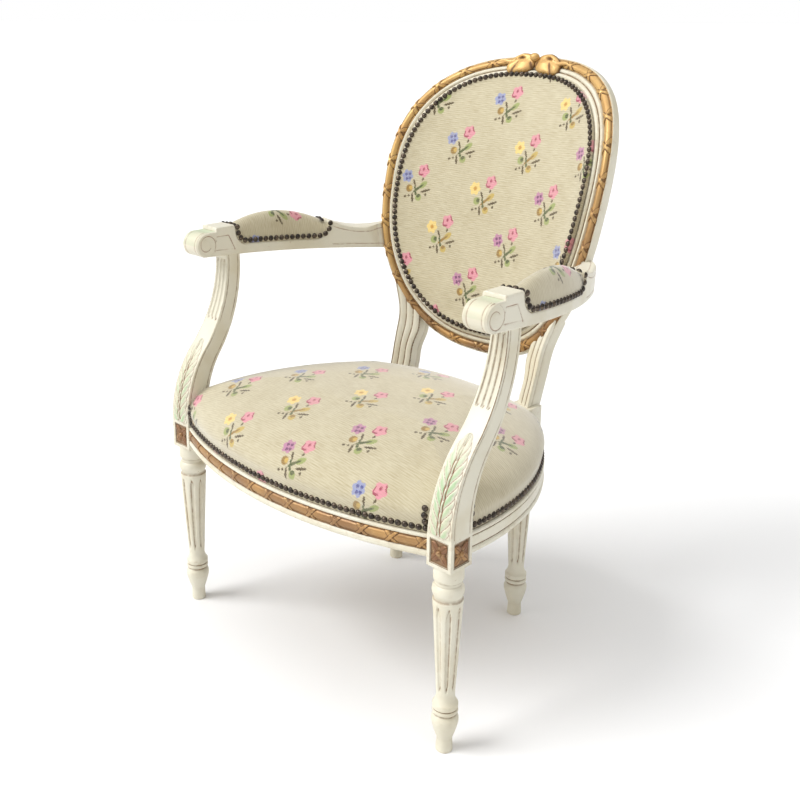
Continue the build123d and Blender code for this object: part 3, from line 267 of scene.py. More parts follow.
class Graph:
    """Short ways to add and join shader nodes in one tree."""

    def __init__(self, tree: bpy.types.NodeTree) -> None:
        """Work in a node tree."""
        self.tree = tree

    def add(self, kind: str, inputs: dict | None = None, **settings) -> bpy.types.Node:
        """Add a node, set it, and feed its sockets with values or other sockets.

        Args:
            kind: The node's type.
            inputs: Values or sockets by input name or number.
            settings: Properties of the node.

        Returns:
            The node.
        """
        node = self.tree.nodes.new(kind)
        for key, value in settings.items():
            setattr(node, key, value)
        self.feed(node.inputs, inputs or {})
        return node

    def feed(self, sockets, inputs: dict) -> None:
        """Set sockets, by name or number, to values or join them to other sockets."""
        for key, value in inputs.items():
            socket = sockets[key]
            if isinstance(value, bpy.types.NodeSocket):
                self.tree.links.new(value, socket)
            elif isinstance(value, tuple) and socket.type == "RGBA":
                socket.default_value = (*value[:3], 1)
            else:
                socket.default_value = value

    def math(self, operation: str, *values, clamped: bool = False) -> bpy.types.NodeSocket:
        """The result of a math node on values or sockets."""
        inputs = dict(enumerate(values))
        return self.add("ShaderNodeMath", inputs, operation=operation, use_clamp=clamped).outputs[0]

    def vector(self, operation: str, *values, out: str = "Vector") -> bpy.types.NodeSocket:
        """The result of a vector math node on values or sockets."""
        inputs = dict(enumerate(values))
        return self.add("ShaderNodeVectorMath", inputs, operation=operation).outputs[out]

    def scaled(self, vector, factor) -> bpy.types.NodeSocket:
        """A vector times a factor."""
        inputs = {0: vector, "Scale": factor}
        return self.add("ShaderNodeVectorMath", inputs, operation="SCALE").outputs["Vector"]

    def away(self, place, middle: Flat) -> bpy.types.NodeSocket:
        """Distance of a place from a point."""
        return self.vector("LENGTH", self.vector("SUBTRACT", place, (*middle, 0)), out="Value")

    def mix(self, share, first, second) -> bpy.types.NodeSocket:
        """A colour between two others. The node's colours are its inputs 6 and 7 and its output 2."""
        inputs = {0: share, 6: first, 7: second}
        return self.add("ShaderNodeMix", inputs, data_type="RGBA", blend_type="MIX").outputs[2]

    def span(self, value, low: float, high: float, to_low=0.0, to_high=1.0) -> bpy.types.NodeSocket:
        """A value carried smoothly from one span to another."""
        inputs = {"Value": value, "From Min": low, "From Max": high}
        inputs |= {"To Min": to_low, "To Max": to_high}
        return self.add("ShaderNodeMapRange", inputs, interpolation_type="SMOOTHSTEP").outputs[0]

    def noise(self, vector, scale: float, detail: float = 3.0) -> bpy.types.NodeSocket:
        """The strength of a noise texture."""
        inputs = {"Vector": vector, "Scale": scale, "Detail": detail}
        return self.add("ShaderNodeTexNoise", inputs).outputs[0]

    def mask(self, name: str) -> bpy.types.NodeSocket:
        """A painted mask of the mesh."""
        return self.add("ShaderNodeAttribute", attribute_name=name).outputs["Fac"]


def new_material(name: str) -> tuple:
    """Start a material.

    Args:
        name: The material's name.

    Returns:
        The material, its graph and the inputs of its shader.
    """
    made = bpy.data.materials.new(name)
    made.use_nodes = True
    return made, Graph(made.node_tree), made.node_tree.nodes["Principled BSDF"].inputs


def new_group(name: str, takes: dict[str, str], gives: dict[str, str]) -> tuple:
    """Start a shader node group.

    Args:
        name: The group's name.
        takes: Input names with their socket types.
        gives: Output names with their socket types.

    Returns:
        The group's graph, its input node's sockets and its output node.
    """
    tree = bpy.data.node_groups.new(name, "ShaderNodeTree")
    for title, kind in takes.items():
        tree.interface.new_socket(title, in_out="INPUT", socket_type=f"NodeSocket{kind}")
    for title, kind in gives.items():
        tree.interface.new_socket(title, in_out="OUTPUT", socket_type=f"NodeSocket{kind}")
    graph = Graph(tree)
    return graph, graph.add("NodeGroupInput").outputs, graph.add("NodeGroupOutput")


def aged_group() -> bpy.types.NodeTree:
    """A group that mottles a colour, lays a wash in its hollows and wears its edges."""
    takes = {"Place": "Vector", "Base": "Color", "Mottle": "Color", "Wash": "Color"}
    takes |= {"Worn": "Color", "Hollow": "Float", "Edge": "Float"}
    gives = {"Colour": "Color", "Roughness": "Float", "Height": "Float"}
    graph, taken, given = new_group("aged surface", takes, gives)
    cloud = graph.noise(taken["Place"], 14.0, 4.0)
    fleck = graph.noise(taken["Place"], 120.0, 5.0)
    grain = graph.noise(taken["Place"], 420.0, 3.0)
    tone = graph.mix(graph.span(cloud, 0.38, 0.72), taken["Base"], taken["Mottle"])
    ragged = graph.math("MULTIPLY", taken["Hollow"], graph.span(fleck, 0.1, 0.62, 0.55, 1.25))
    settled = graph.span(ragged, 0.12, 0.85)
    tone = graph.mix(settled, tone, taken["Wash"])
    rubbed = graph.math("MULTIPLY", taken["Edge"], graph.span(fleck, 0.5, 0.72))
    tone = graph.mix(graph.math("MULTIPLY", rubbed, 0.9, clamped=True), tone, taken["Worn"])
    chips = graph.math("GREATER_THAN", graph.noise(taken["Place"], 75.0, 6.0), 0.735)
    tone = graph.mix(graph.math("MULTIPLY", chips, 0.55), tone, taken["Worn"])
    height = graph.math("SUBTRACT", grain, graph.math("MULTIPLY", chips, 0.6))
    rough = graph.span(cloud, 0.3, 0.7, 0.36, 0.5)
    rough = graph.math("ADD", rough, graph.math("MULTIPLY", settled, 0.2))
    graph.feed(given.inputs, {"Colour": tone, "Roughness": rough, "Height": height})
    return graph.tree


@dataclass(frozen=True)
class AgedFinish:
    """A painted, gilt or bare surface with age on it."""

    name: str
    base: Colour
    mottle: Colour
    wash: Colour
    worn: Colour
    metal: float = 0.0
    bump: float = 0.06
    tinted_and_shaded: Colour | None = None

    def material(self, group: bpy.types.NodeTree) -> bpy.types.Material:
        """Build the material from the shared ageing group."""
        made, graph, shader = new_material(self.name)
        place = graph.add("ShaderNodeTexCoord").outputs["Object"]
        base = self.base
        if self.tinted_and_shaded:
            base = graph.mix(graph.mask("tint_and_shade"), self.base, self.tinted_and_shaded)
        inputs = {"Place": place, "Base": base, "Mottle": self.mottle, "Wash": self.wash}
        inputs |= {"Worn": self.worn, "Hollow": graph.mask("wash"), "Edge": graph.mask("edge")}
        aged = graph.add("ShaderNodeGroup", inputs, node_tree=group).outputs
        inputs = {"Height": aged["Height"], "Strength": self.bump, "Distance": 0.002}
        bump = graph.add("ShaderNodeBump", inputs).outputs[0]
        graph.feed(shader, {"Base Color": aged["Colour"], "Roughness": aged["Roughness"]})
        graph.feed(shader, {"Normal": bump, "Metallic": self.metal})
        return made


class Bloom(Enum):
    """The three varieties of sprig: the light and dark wools of their left bloom."""

    BLUE = ((0.28, 0.31, 0.50), (0.08, 0.09, 0.26))
    YELLOW = ((0.78, 0.58, 0.20), (0.52, 0.26, 0.04))
    VIOLET = ((0.46, 0.20, 0.33), (0.15, 0.03, 0.13))


class Wool(Enum):
    """Colours of the sprigs' wools."""

    GREEN = (0.055, 0.080, 0.022)
    SAGE = (0.29, 0.34, 0.11)
    TWIG = (0.070, 0.047, 0.020)
    OCHRE = (0.27, 0.155, 0.03)
    GOLD = (0.50, 0.36, 0.09)
    PINK = (0.68, 0.27, 0.33)
    ROSE = (0.32, 0.035, 0.09)
    STRAW = (0.55, 0.36, 0.08)


@dataclass(frozen=True)
class Stitch:
    """One leaf, stem or bud of the sprig, an ellipse in millimetres.

    The second wool is the one that it takes in the yellow variety.
    """

    x: float
    y: float
    long: float
    wide: float
    turn: float
    wool: Wool
    other: Wool | None = None


@dataclass(frozen=True)
class NeedlepointFinish:
    """Ribbed linen ground worked with sprigs in a slanting lattice."""

    name: str = "needlepoint"
    ground: Colour = (0.555, 0.50, 0.35)
    # The ground's darker tone, and also the colour of the painted shade in the cloth's hollows and creases.
    shade: Colour = (0.385, 0.32, 0.19)
    rib: float = 0.0036
    thread: float = 0.0024
    step_along: Flat = (0.0741, 0.0781)
    step_down: Flat = (0.0717, -0.0798)
    stitch: float = 0.0017
    sprig: tuple[Stitch, ...] = (
        Stitch(14.0, -0.5, 9.6, 5.0, 44, Wool.SAGE, Wool.GOLD),
        Stitch(8.6, -24.0, 6.6, 6.4, 0, Wool.SAGE, Wool.GOLD),
        Stitch(-5.0, 0.3, 6.8, 2.0, 122, Wool.TWIG),
        Stitch(10.4, 9.0, 3.4, 1.9, 78, Wool.TWIG),
        Stitch(4.6, -8.4, 13.4, 2.3, 42, Wool.GREEN, Wool.OCHRE),
        Stitch(-1.5, -9.6, 5.4, 1.9, 110, Wool.GREEN),
        Stitch(21.0, -10.4, 10.5, 2.2, 21, Wool.TWIG),
        Stitch(22.6, -17.0, 2.4, 2.2, 0, Wool.TWIG),
        Stitch(8.2, -21.0, 4.4, 3.2, 30, Wool.GREEN, Wool.OCHRE),
        Stitch(1.2, -17.9, 3.4, 2.6, 120, Wool.GREEN),
        Stitch(-4.0, -26.0, 8.6, 2.3, 104, Wool.TWIG),
        Stitch(-19.2, -25.9, 3.0, 2.2, 10, Wool.TWIG),
        Stitch(-11.8, -23.6, 2.2, 2.0, 0, Wool.TWIG),
        Stitch(-13.6, -10.6, 7.0, 7.0, 0, Wool.OCHRE, Wool.SAGE),
        Stitch(-10.8, -9.4, 3.4, 4.2, 0, Wool.STRAW, Wool.GREEN),
    )
    petals: tuple[Stitch, ...] = (
        Stitch(7.9, 26.4, 2.4, 2.8, 0, Wool.ROSE),
        Stitch(16.2, 30.6, 5.6, 1.9, 118, Wool.ROSE),
        Stitch(2.6, 15.6, 7.6, 2.3, 16, Wool.ROSE),
        Stitch(-0.4, 22.4, 4.6, 1.5, 102, Wool.ROSE),
    )
    strokes: tuple[Flat, ...] = ((-25.5, 12.6), (-18.6, 14.4), (-22.6, 5.2), (-16.6, 7.4))
    stroke_edge: Flat = (3.1, 2.2)
    heart_edge: Flat = (4.2, 3.0)
    left_bloom: tuple[float, float, float] = (-22.0, 10.2, 11.8)
    right_bloom: tuple[float, float, float] = (9.0, 24.0, 12.6)

    def sprig_at(self, place: Flat) -> tuple[int, int]:
        """Numbers along and down of the sprig nearest to a place on the flat cloth."""
        (ax, ay), (bx, by) = self.step_along, self.step_down
        area = ax * by - ay * bx
        x, y = place
        return round((by * x - bx * y) / area), round((ax * y - ay * x) / area)

    def lattice(self, graph: Graph, cloth: bpy.types.NodeSocket) -> tuple:
        """Find the place inside the nearest sprig and the sprig's row.

        Args:
            graph: The tree to work in.
            cloth: Place on the flat cloth, in metres.

        Returns:
            The place from the sprig's middle in millimetres, and the row's number.
        """
        (ax, ay), (bx, by) = self.step_along, self.step_down
        area = ax * by - ay * bx
        along = graph.vector("DOT_PRODUCT", cloth, (by / area, -bx / area, 0), out="Value")
        down = graph.vector("DOT_PRODUCT", cloth, (-ay / area, ax / area, 0), out="Value")
        along, down = graph.math("ROUND", along), graph.math("ROUND", down)
        inside = cloth
        for step, number in ((self.step_along, along), (self.step_down, down)):
            inside = graph.vector("SUBTRACT", inside, graph.scaled((*step, 0), number))
        inside = graph.vector("SNAP", inside, (self.stitch,) * 3)
        return graph.scaled(inside, 1000), down

    def bloom(self, graph: Graph, inside, place: tuple, petals: int) -> bpy.types.NodeSocket:
        """Mask of a bloom.

        Args:
            graph: The tree to work in.
            inside: Place from the sprig's middle in millimetres.
            place: The bloom's middle and radius in millimetres.
            petals: Number of petals.

        Returns:
            The bloom's mask.
        """
        x, y, radius = place
        spoke = graph.vector("SUBTRACT", inside, (x, y, 0))
        parts = graph.add("ShaderNodeSeparateXYZ", {0: spoke}).outputs
        turn = graph.math("MULTIPLY", graph.math("ARCTAN2", parts[1], parts[0]), float(petals))
        reach = graph.vector("LENGTH", spoke, out="Value")
        wave = graph.math("MULTIPLY_ADD", graph.math("COSINE", turn), 0.10 * radius, 0.90 * radius)
        over = graph.math("SUBTRACT", wave, reach)
        return graph.span(over, -0.4, 0.4)

    def worked(self, graph: Graph, inside, leaf: Stitch, colour, yellow) -> tuple:
        """Lay one stitched ellipse over a colour.

        Args:
            graph: The tree to work in.
            inside: Place from the sprig's middle in millimetres.
            leaf: The ellipse.
            colour: The colour under it.
            yellow: Mask of the yellow variety.

        Returns:
            The new colour and the ellipse's mask.
        """
        inputs = {"Vector": inside, "Location": (leaf.x, leaf.y, 0)}
        inputs |= {"Rotation": (0, 0, math.radians(leaf.turn)), "Scale": (leaf.long, leaf.wide, 1)}
        local = graph.add("ShaderNodeMapping", inputs, vector_type="TEXTURE").outputs[0]
        mask = graph.span(graph.vector("LENGTH", local, out="Value"), 1.15, 0.85)
        wool = leaf.wool.value
        if leaf.other:
            wool = graph.mix(yellow, wool, leaf.other.value)
        return graph.mix(mask, colour, wool), mask

    def sprigs(self) -> bpy.types.NodeTree:
        """The group that colours the sprigs and masks them from the ground."""
        gives = {"Colour": "Color", "Mask": "Float"}
        graph, taken, given = new_group("needlepoint sprigs", {"Cloth": "Vector"}, gives)
        inside, row = self.lattice(graph, taken["Cloth"])
        third = graph.math("FRACT", graph.math("MULTIPLY_ADD", row, 1 / 3, 1 / 6))
        past_blue = graph.math("GREATER_THAN", third, 1 / 3)
        past_yellow = graph.math("GREATER_THAN", third, 2 / 3)
        yellow = graph.math("SUBTRACT", past_blue, past_yellow)
        colour, cover = self.ground, None
        for leaf in self.sprig:
            colour, mask = self.worked(graph, inside, leaf, colour, yellow)
            cover = mask if cover is None else graph.math("MAXIMUM", cover, mask)
        light, dark = (
            graph.mix(past_yellow, graph.mix(past_blue, *first), second)
            for first, second in (
                ((Bloom.BLUE.value[i], Bloom.YELLOW.value[i]), Bloom.VIOLET.value[i]) for i in (0, 1)
            )
        )
        blooms = (self.left_bloom, 6, light), (self.right_bloom, 5, Wool.PINK.value)
        for place, petals, tone in blooms:
            mask = self.bloom(graph, inside, place, petals)
            colour = graph.mix(mask, colour, tone)
            cover = graph.math("MAXIMUM", cover, mask)
        for stroke in self.strokes:
            dot = graph.span(graph.away(inside, stroke), *self.stroke_edge)
            colour = graph.mix(graph.math("SUBTRACT", dot, yellow, clamped=True), colour, dark)
        dot = graph.span(graph.away(inside, self.left_bloom[:2]), *self.heart_edge)
        colour = graph.mix(graph.math("MULTIPLY", dot, yellow), colour, dark)
        for petal in self.petals:
            colour, _ = self.worked(graph, inside, petal, colour, yellow)
        graph.feed(given.inputs, {"Colour": colour, "Mask": cover})
        return graph.tree

    def material(self) -> bpy.types.Material:
        """Build the ribbed ground and lay the sprigs on it."""
        made, graph, shader = new_material(self.name)
        cloth = graph.add("ShaderNodeUVMap", uv_map="cloth").outputs[0]
        parts = graph.add("ShaderNodeSeparateXYZ", {0: cloth}).outputs
        rib = graph.math("SINE", graph.math("MULTIPLY", parts[1], math.tau / self.rib))
        thread = graph.math("SINE", graph.math("MULTIPLY", parts[0], math.tau / self.thread))
        weave = graph.math("MULTIPLY_ADD", graph.math("MULTIPLY", rib, thread), 0.25, rib)
        slub = graph.noise(graph.vector("MULTIPLY", cloth, (60.0, 700.0, 1.0)), 1.0, 2.0)
        cloud = graph.noise(cloth, 22.0, 3.0)
        tone = graph.math("MULTIPLY_ADD", weave, -0.16, graph.span(slub, 0.3, 0.75, 0.0, 0.6))
        tone = graph.math("ADD", tone, graph.span(cloud, 0.35, 0.75, 0.0, 0.22), clamped=True)
        colour = graph.mix(tone, self.ground, self.shade)
        sprigs = graph.add("ShaderNodeGroup", {"Cloth": cloth}, node_tree=self.sprigs()).outputs
        wool = graph.mix(graph.math("MULTIPLY", tone, 0.45), sprigs["Colour"], self.shade)
        plain = graph.span(graph.mask("tint_and_shade"), 0.0, 1.0, 1.0, 0.0)
        colour = graph.mix(graph.math("MULTIPLY", sprigs["Mask"], plain), colour, wool)
        # Painted shade: the cloth is darkened towards its shade colour where the wash mask marks the mesh's
        # hollows and creases.
        colour = graph.mix(graph.math("MULTIPLY", graph.mask("wash"), 0.6), colour, self.shade)
        bump = graph.add("ShaderNodeBump", {"Height": weave, "Strength": 0.16, "Distance": 0.0006})
        graph.feed(shader, {"Base Color": colour, "Normal": bump.outputs[0], "Roughness": 0.86})
        graph.feed(shader, {"Specular IOR Level": 0.25, "Sheen Weight": 0.7})
        return made


@dataclass(frozen=True)
class JuteFinish:
    """Coarse plain weave of the webbing and hessian under the seat."""

    name: str = "jute"
    light: Colour = (0.42, 0.31, 0.17)
    dark: Colour = (0.20, 0.13, 0.06)
    yarn: float = 0.0024

    def material(self) -> bpy.types.Material:
        """Build the weave from two crossed waves on the cloth map."""
        made, graph, shader = new_material(self.name)
        cloth = graph.add("ShaderNodeUVMap", uv_map="cloth").outputs[0]
        parts = graph.add("ShaderNodeSeparateXYZ", {0: cloth}).outputs
        waves = [graph.math("SINE", graph.math("MULTIPLY", parts[i], math.tau / self.yarn)) for i in (0, 1)]
        weave = graph.math("MULTIPLY", waves[0], waves[1])
        tone = graph.math("MULTIPLY_ADD", weave, 0.3, graph.noise(cloth, 60.0, 4.0), clamped=True)
        bump = graph.add("ShaderNodeBump", {"Height": weave, "Strength": 0.4, "Distance": 0.0008})
        colour = graph.mix(tone, self.dark, self.light)
        graph.feed(shader, {"Base Color": colour, "Normal": bump.outputs[0], "Roughness": 0.92})
        return made


@dataclass(frozen=True)
class NailFinish:
    """Dark antique bronze of the domed nails."""

    name: str = "antique nails"
    dark: Colour = (0.028, 0.022, 0.018)
    light: Colour = (0.13, 0.095, 0.065)

    def material(self) -> bpy.types.Material:
        """Build the bronze with tarnish that changes from nail to nail."""
        made, graph, shader = new_material(self.name)
        place = graph.add("ShaderNodeTexCoord").outputs["Object"]
        tone = graph.span(graph.noise(place, 150.0, 3.0), 0.35, 0.72)
        colour = graph.mix(tone, self.dark, self.light)
        rough = graph.span(tone, 0.0, 1.0, 0.34, 0.20)
        graph.feed(shader, {"Base Color": colour, "Roughness": rough, "Metallic": 0.55})
        return made


class Finishes:
    """All finishes of the chair, built once."""

    def __init__(self) -> None:
        """Build the shared groups and the materials."""
        aged = aged_group()
        self.cream = AgedFinish(
            "cream paint",
            base=(0.72, 0.685, 0.56),
            mottle=(0.66, 0.605, 0.455),
            wash=(0.24, 0.14, 0.07),
            worn=(0.46, 0.35, 0.22),
        ).material(aged)
        self.leaf = AgedFinish(
            "leaf paint",
            base=(0.72, 0.685, 0.565),
            mottle=(0.66, 0.61, 0.465),
            wash=(0.30, 0.16, 0.10),
            worn=(0.50, 0.38, 0.26),
            tinted_and_shaded=(0.36, 0.52, 0.29),
        ).material(aged)
        self.gold = AgedFinish(
            "gilding",
            base=(0.74, 0.48, 0.17),
            mottle=(0.54, 0.31, 0.11),
            wash=(0.17, 0.085, 0.035),
            worn=(0.84, 0.62, 0.30),
            metal=0.35,
            bump=0.12,
            # Dark copper-brown laid on through the tint mask; on the oval's ribbon its spread towards the
            # bottom and the sitter's left is painted shade.
            tinted_and_shaded=(0.22, 0.105, 0.05),
        ).material(aged)
        self.beech = AgedFinish(
            "raw beech",
            base=(0.42, 0.25, 0.12),
            mottle=(0.30, 0.17, 0.08),
            wash=(0.14, 0.08, 0.04),
            worn=(0.36, 0.22, 0.11),
        ).material(aged)
        self.cloth = NeedlepointFinish().material()
        self.jute = JuteFinish().material()
        self.nail = NailFinish().material()


@dataclass
class SeatPlan:
    """Bowed outline of the seat frame: arcs between the square leg blocks."""

    front_leg: Flat = (0.297, -0.2558)
    rear_leg: Flat = (0.145, 0.1112)
    block: float = 0.045
    rear_block: float = 0.044
    front_inset: float = 0.003
    side_inset: float = 0.009
    side_rear_inset: float = 0.011
    rear_inset: float = 0.004
    front_bow: float = 0.0555
    side_bow: float = 0.0476
    rear_bow: float = 0.018
    shares: Flat = (0.36, 0.26)
    front_near: Flat = (0.32, -0.28)
    rear_near: Flat = (0.167, 0.133)

    def __post_init__(self) -> None:
        """Work out the arcs from the blocks."""
        half, rear_half = self.block / 2, self.rear_block / 2
        (fx, fy), (rx, ry) = self.front_leg, self.rear_leg
        self.front_end = (fx - half, fy - half + self.front_inset)
        self.side_front = (fx + half - self.side_inset, fy + half)
        self.side_rear = (rx + rear_half, ry + rear_half - self.side_rear_inset)
        self.rear_end = (rx - rear_half, ry + rear_half - self.rear_inset)
        mirrored = (-self.front_end[0], self.front_end[1])
        self.front = self.bow(mirrored, self.front_end, self.front_bow)
        self.side = self.bow(self.side_front, self.side_rear, self.side_bow)
        rear_other = (-self.rear_end[0], self.rear_end[1])
        self.rear = self.bow(self.rear_end, rear_other, self.rear_bow)

    @staticmethod
    def bow(start: Flat, end: Flat, rise: float) -> tuple[float, float, float]:
        """Centre and radius of the arc that rises to the right of a line."""
        run = (end[0] - start[0], end[1] - start[1])
        half = math.hypot(*run) / 2
        radius = (half**2 + rise**2) / (2 * rise)
        back = (radius - rise) / (2 * half)
        x = (start[0] + end[0]) / 2 - run[1] * back
        y = (start[1] + end[1]) / 2 + run[0] * back
        return x, y, radius

    def front_at(self, share: float, inset: float, over: float = 0.0) -> Flat:
        """Point of the front rail's face, from the sitter's right to left."""
        x = (2 * share - 1) * (self.front_end[0] + over)
        return x, self.front[1] - math.sqrt((self.front[2] - inset) ** 2 - x * x)

    def rear_at(self, share: float, inset: float, over: float = 0.0) -> Flat:
        """Point of the rear rail's face, from the sitter's right to left."""
        x = (2 * share - 1) * (self.rear_end[0] + over)
        return x, self.rear[1] + math.sqrt((self.rear[2] - inset) ** 2 - x * x)

    def side_at(self, share: float, inset: float, over: float = 0.0) -> Flat:
        """Point of the left rail's face, from front to rear."""
        cx, cy, radius = self.side
        radius -= inset
        start = math.asin((self.side_front[1] - over - cy) / radius)
        end = math.acos((self.side_rear[0] - over - cx) / radius)
        turn = blend(start, end, share)
        return cx + radius * math.cos(turn), cy + radius * math.sin(turn)

    @staticmethod
    def meet(first: tuple, second: tuple, near: Flat) -> Flat:
        """The crossing of two circles that lies nearer to a point."""
        (x1, y1, r1), (x2, y2, r2) = first, second
        span = math.hypot(x2 - x1, y2 - y1)
        along = (r1**2 - r2**2 + span**2) / (2 * span)
        away = math.sqrt(max(0.0, r1**2 - along**2))
        ux, uy = (x2 - x1) / span, (y2 - y1) / span
        base = (x1 + ux * along, y1 + uy * along)
        options = [(base[0] - s * uy * away, base[1] + s * ux * away) for s in (-1, 1)]
        return min(options, key=lambda p: math.dist(p, near))

    def outline(self, turn: float, inset: float) -> Flat:
        """Point round the whole outline, drawn in by an inset.

        Args:
            turn: Share of the way round, from the middle of the front towards the left.
            inset: How far inside the rails' faces.

        Returns:
            The point.
        """
        front, side, rear = ((x, y, r - inset) for x, y, r in (self.front, self.side, self.rear))
        front_corner = self.meet(front, side, self.front_near)
        rear_corner = self.meet(side, rear, self.rear_near)
        sign = 1 if turn <= 0.5 else -1
        share = min(turn, 1 - turn)
        ends = (self.shares[0] / 2, self.shares[0] / 2 + self.shares[1])
        if share <= ends[0]:
            circle, part = front, share / ends[0]
            start, end = (0.0, front[1] - front[2]), front_corner
        elif share <= ends[1]:
            circle, part = side, (share - ends[0]) / (ends[1] - ends[0])
            start, end = front_corner, rear_corner
        else:
            circle, part = rear, (share - ends[1]) / (0.5 - ends[1])
            start, end = rear_corner, (0.0, rear[1] + rear[2])
        cx, cy, radius = circle
        first = math.atan2(start[1] - cy, start[0] - cx)
        sweep = math.remainder(math.atan2(end[1] - cy, end[0] - cx) - first, math.tau)
        angle = first + sweep * part
        return sign * (cx + radius * math.cos(angle)), cy + radius * math.sin(angle)


@dataclass
class BentBack:
    """Frame of the raked, bent back: across is X, up follows the rake."""

    origin: Vector = field(default_factory=lambda: Vector((0, 0.2275, 0.7064)))
    rake: float = math.radians(16.8)
    radius: float = 0.371
    half_width: float = 0.2356
    half_height: float = 0.2674
    power: float = 2.417
    egg: float = 0.063

    def __post_init__(self) -> None:
        """Work out the directions of the back."""
        self.up = Vector((0, math.sin(self.rake), math.cos(self.rake)))
        self.ahead = Vector((0, -math.cos(self.rake), math.sin(self.rake)))

    def oval(self, turn: float, inset: float) -> Flat:
        """Across and up of a point of the oval, drawn in by an inset."""
        c, s = math.cos(turn), math.sin(turn)
        share = math.copysign(abs(s) ** (2 / self.power), s)
        across = (self.half_width - inset) * math.copysign(abs(c) ** (2 / self.power), c)
        return across * (1 + self.egg * share), (self.half_height - inset) * share

    def at(self, across: float, up: float, ahead: float) -> Vector:
        """Place of a point from its across, up and ahead."""
        return self.origin + Vector((across, 0, 0)) + self.up * up + self.ahead * ahead

    def bent(self, across: float, up: float, depth: float) -> Vector:
        """Place of a point a depth behind the front of the bend."""
        reach = self.radius + depth
        return self.at(across, up, self.radius - math.sqrt(max(0.0, reach * reach - across * across)))

    def turn_at(self, up: float, inset: float) -> float:
        """Turn at which the oval's left side is at a height up the rake."""
        share = clamp(up / (self.half_height - inset), -1, 1)
        return math.copysign(math.asin(abs(share) ** (self.power / 2)), up)

    def across_at(self, up: float, inset: float) -> float:
        """Across of the oval's left side at a height up the rake."""
        share = clamp(up / (self.half_height - inset), -1, 1)
        flat = (1 - abs(share) ** self.power) ** (1 / self.power)
        return (self.half_width - inset) * flat * (1 + self.egg * share)

    def walk(self, inset: float, depth: float, steps: int = 2400) -> tuple[np.ndarray, np.ndarray]:
        """Turns round the oval and the length walked to each of them."""
        turns = np.linspace(0, math.tau, steps + 1)
        spots = np.array([self.bent(*self.oval(t, inset), depth) for t in turns])
        steps_long = np.linalg.norm(np.diff(spots, axis=0), axis=1)
        return turns, np.concatenate([[0], np.cumsum(steps_long)])


def faces_round(**counts: int) -> list[tuple[str, float]]:
    """Faces and shares of the points round a four-sided section, with so many on each face."""
    return [(face, i / count) for face, count in counts.items() for i in range(count)]


def ribbon_and_stick(length: float, across: float, period: float) -> tuple[float, float]:
    """Height and wash of a stick bound by crossing ribbons.

    Args:
        length: Way along the moulding.
        across: From -1 to 1 over the moulding's width.
        period: Distance from one binding to the next.

    Returns:
        Height from 0 to 1, and the wash mask.
    """
    stick = math.sqrt(max(0.0, 1 - (across / 0.78) ** 2)) if abs(across) < 0.78 else 0.0
    height = 0.16 + 0.62 * stick
    wash = 0.75 * ridge(abs(across) - 0.8, 0.16)
    phase = math.remainder(length, period) / period
    slant = across * 0.17
    for sign in (-1, 1):
        gap = abs(phase - sign * slant)
        band = ease((0.085 - gap) / 0.03)
        height = max(height, band * (0.30 + 0.68 * math.sqrt(max(0.0, 1 - across * across))))
        wash = max(wash * (1 - band), 0.9 * ridge(gap - 0.098, 0.02))
    knot = ease((0.05 - math.hypot(phase, across * 0.06)) / 0.03)
    height += 0.05 * knot
    reed = 0.5 * ridge(abs(across) - 0.34, 0.08) * ease((abs(phase) - 0.2) / 0.04)
    return height - 0.05 * reed, max(wash, reed)


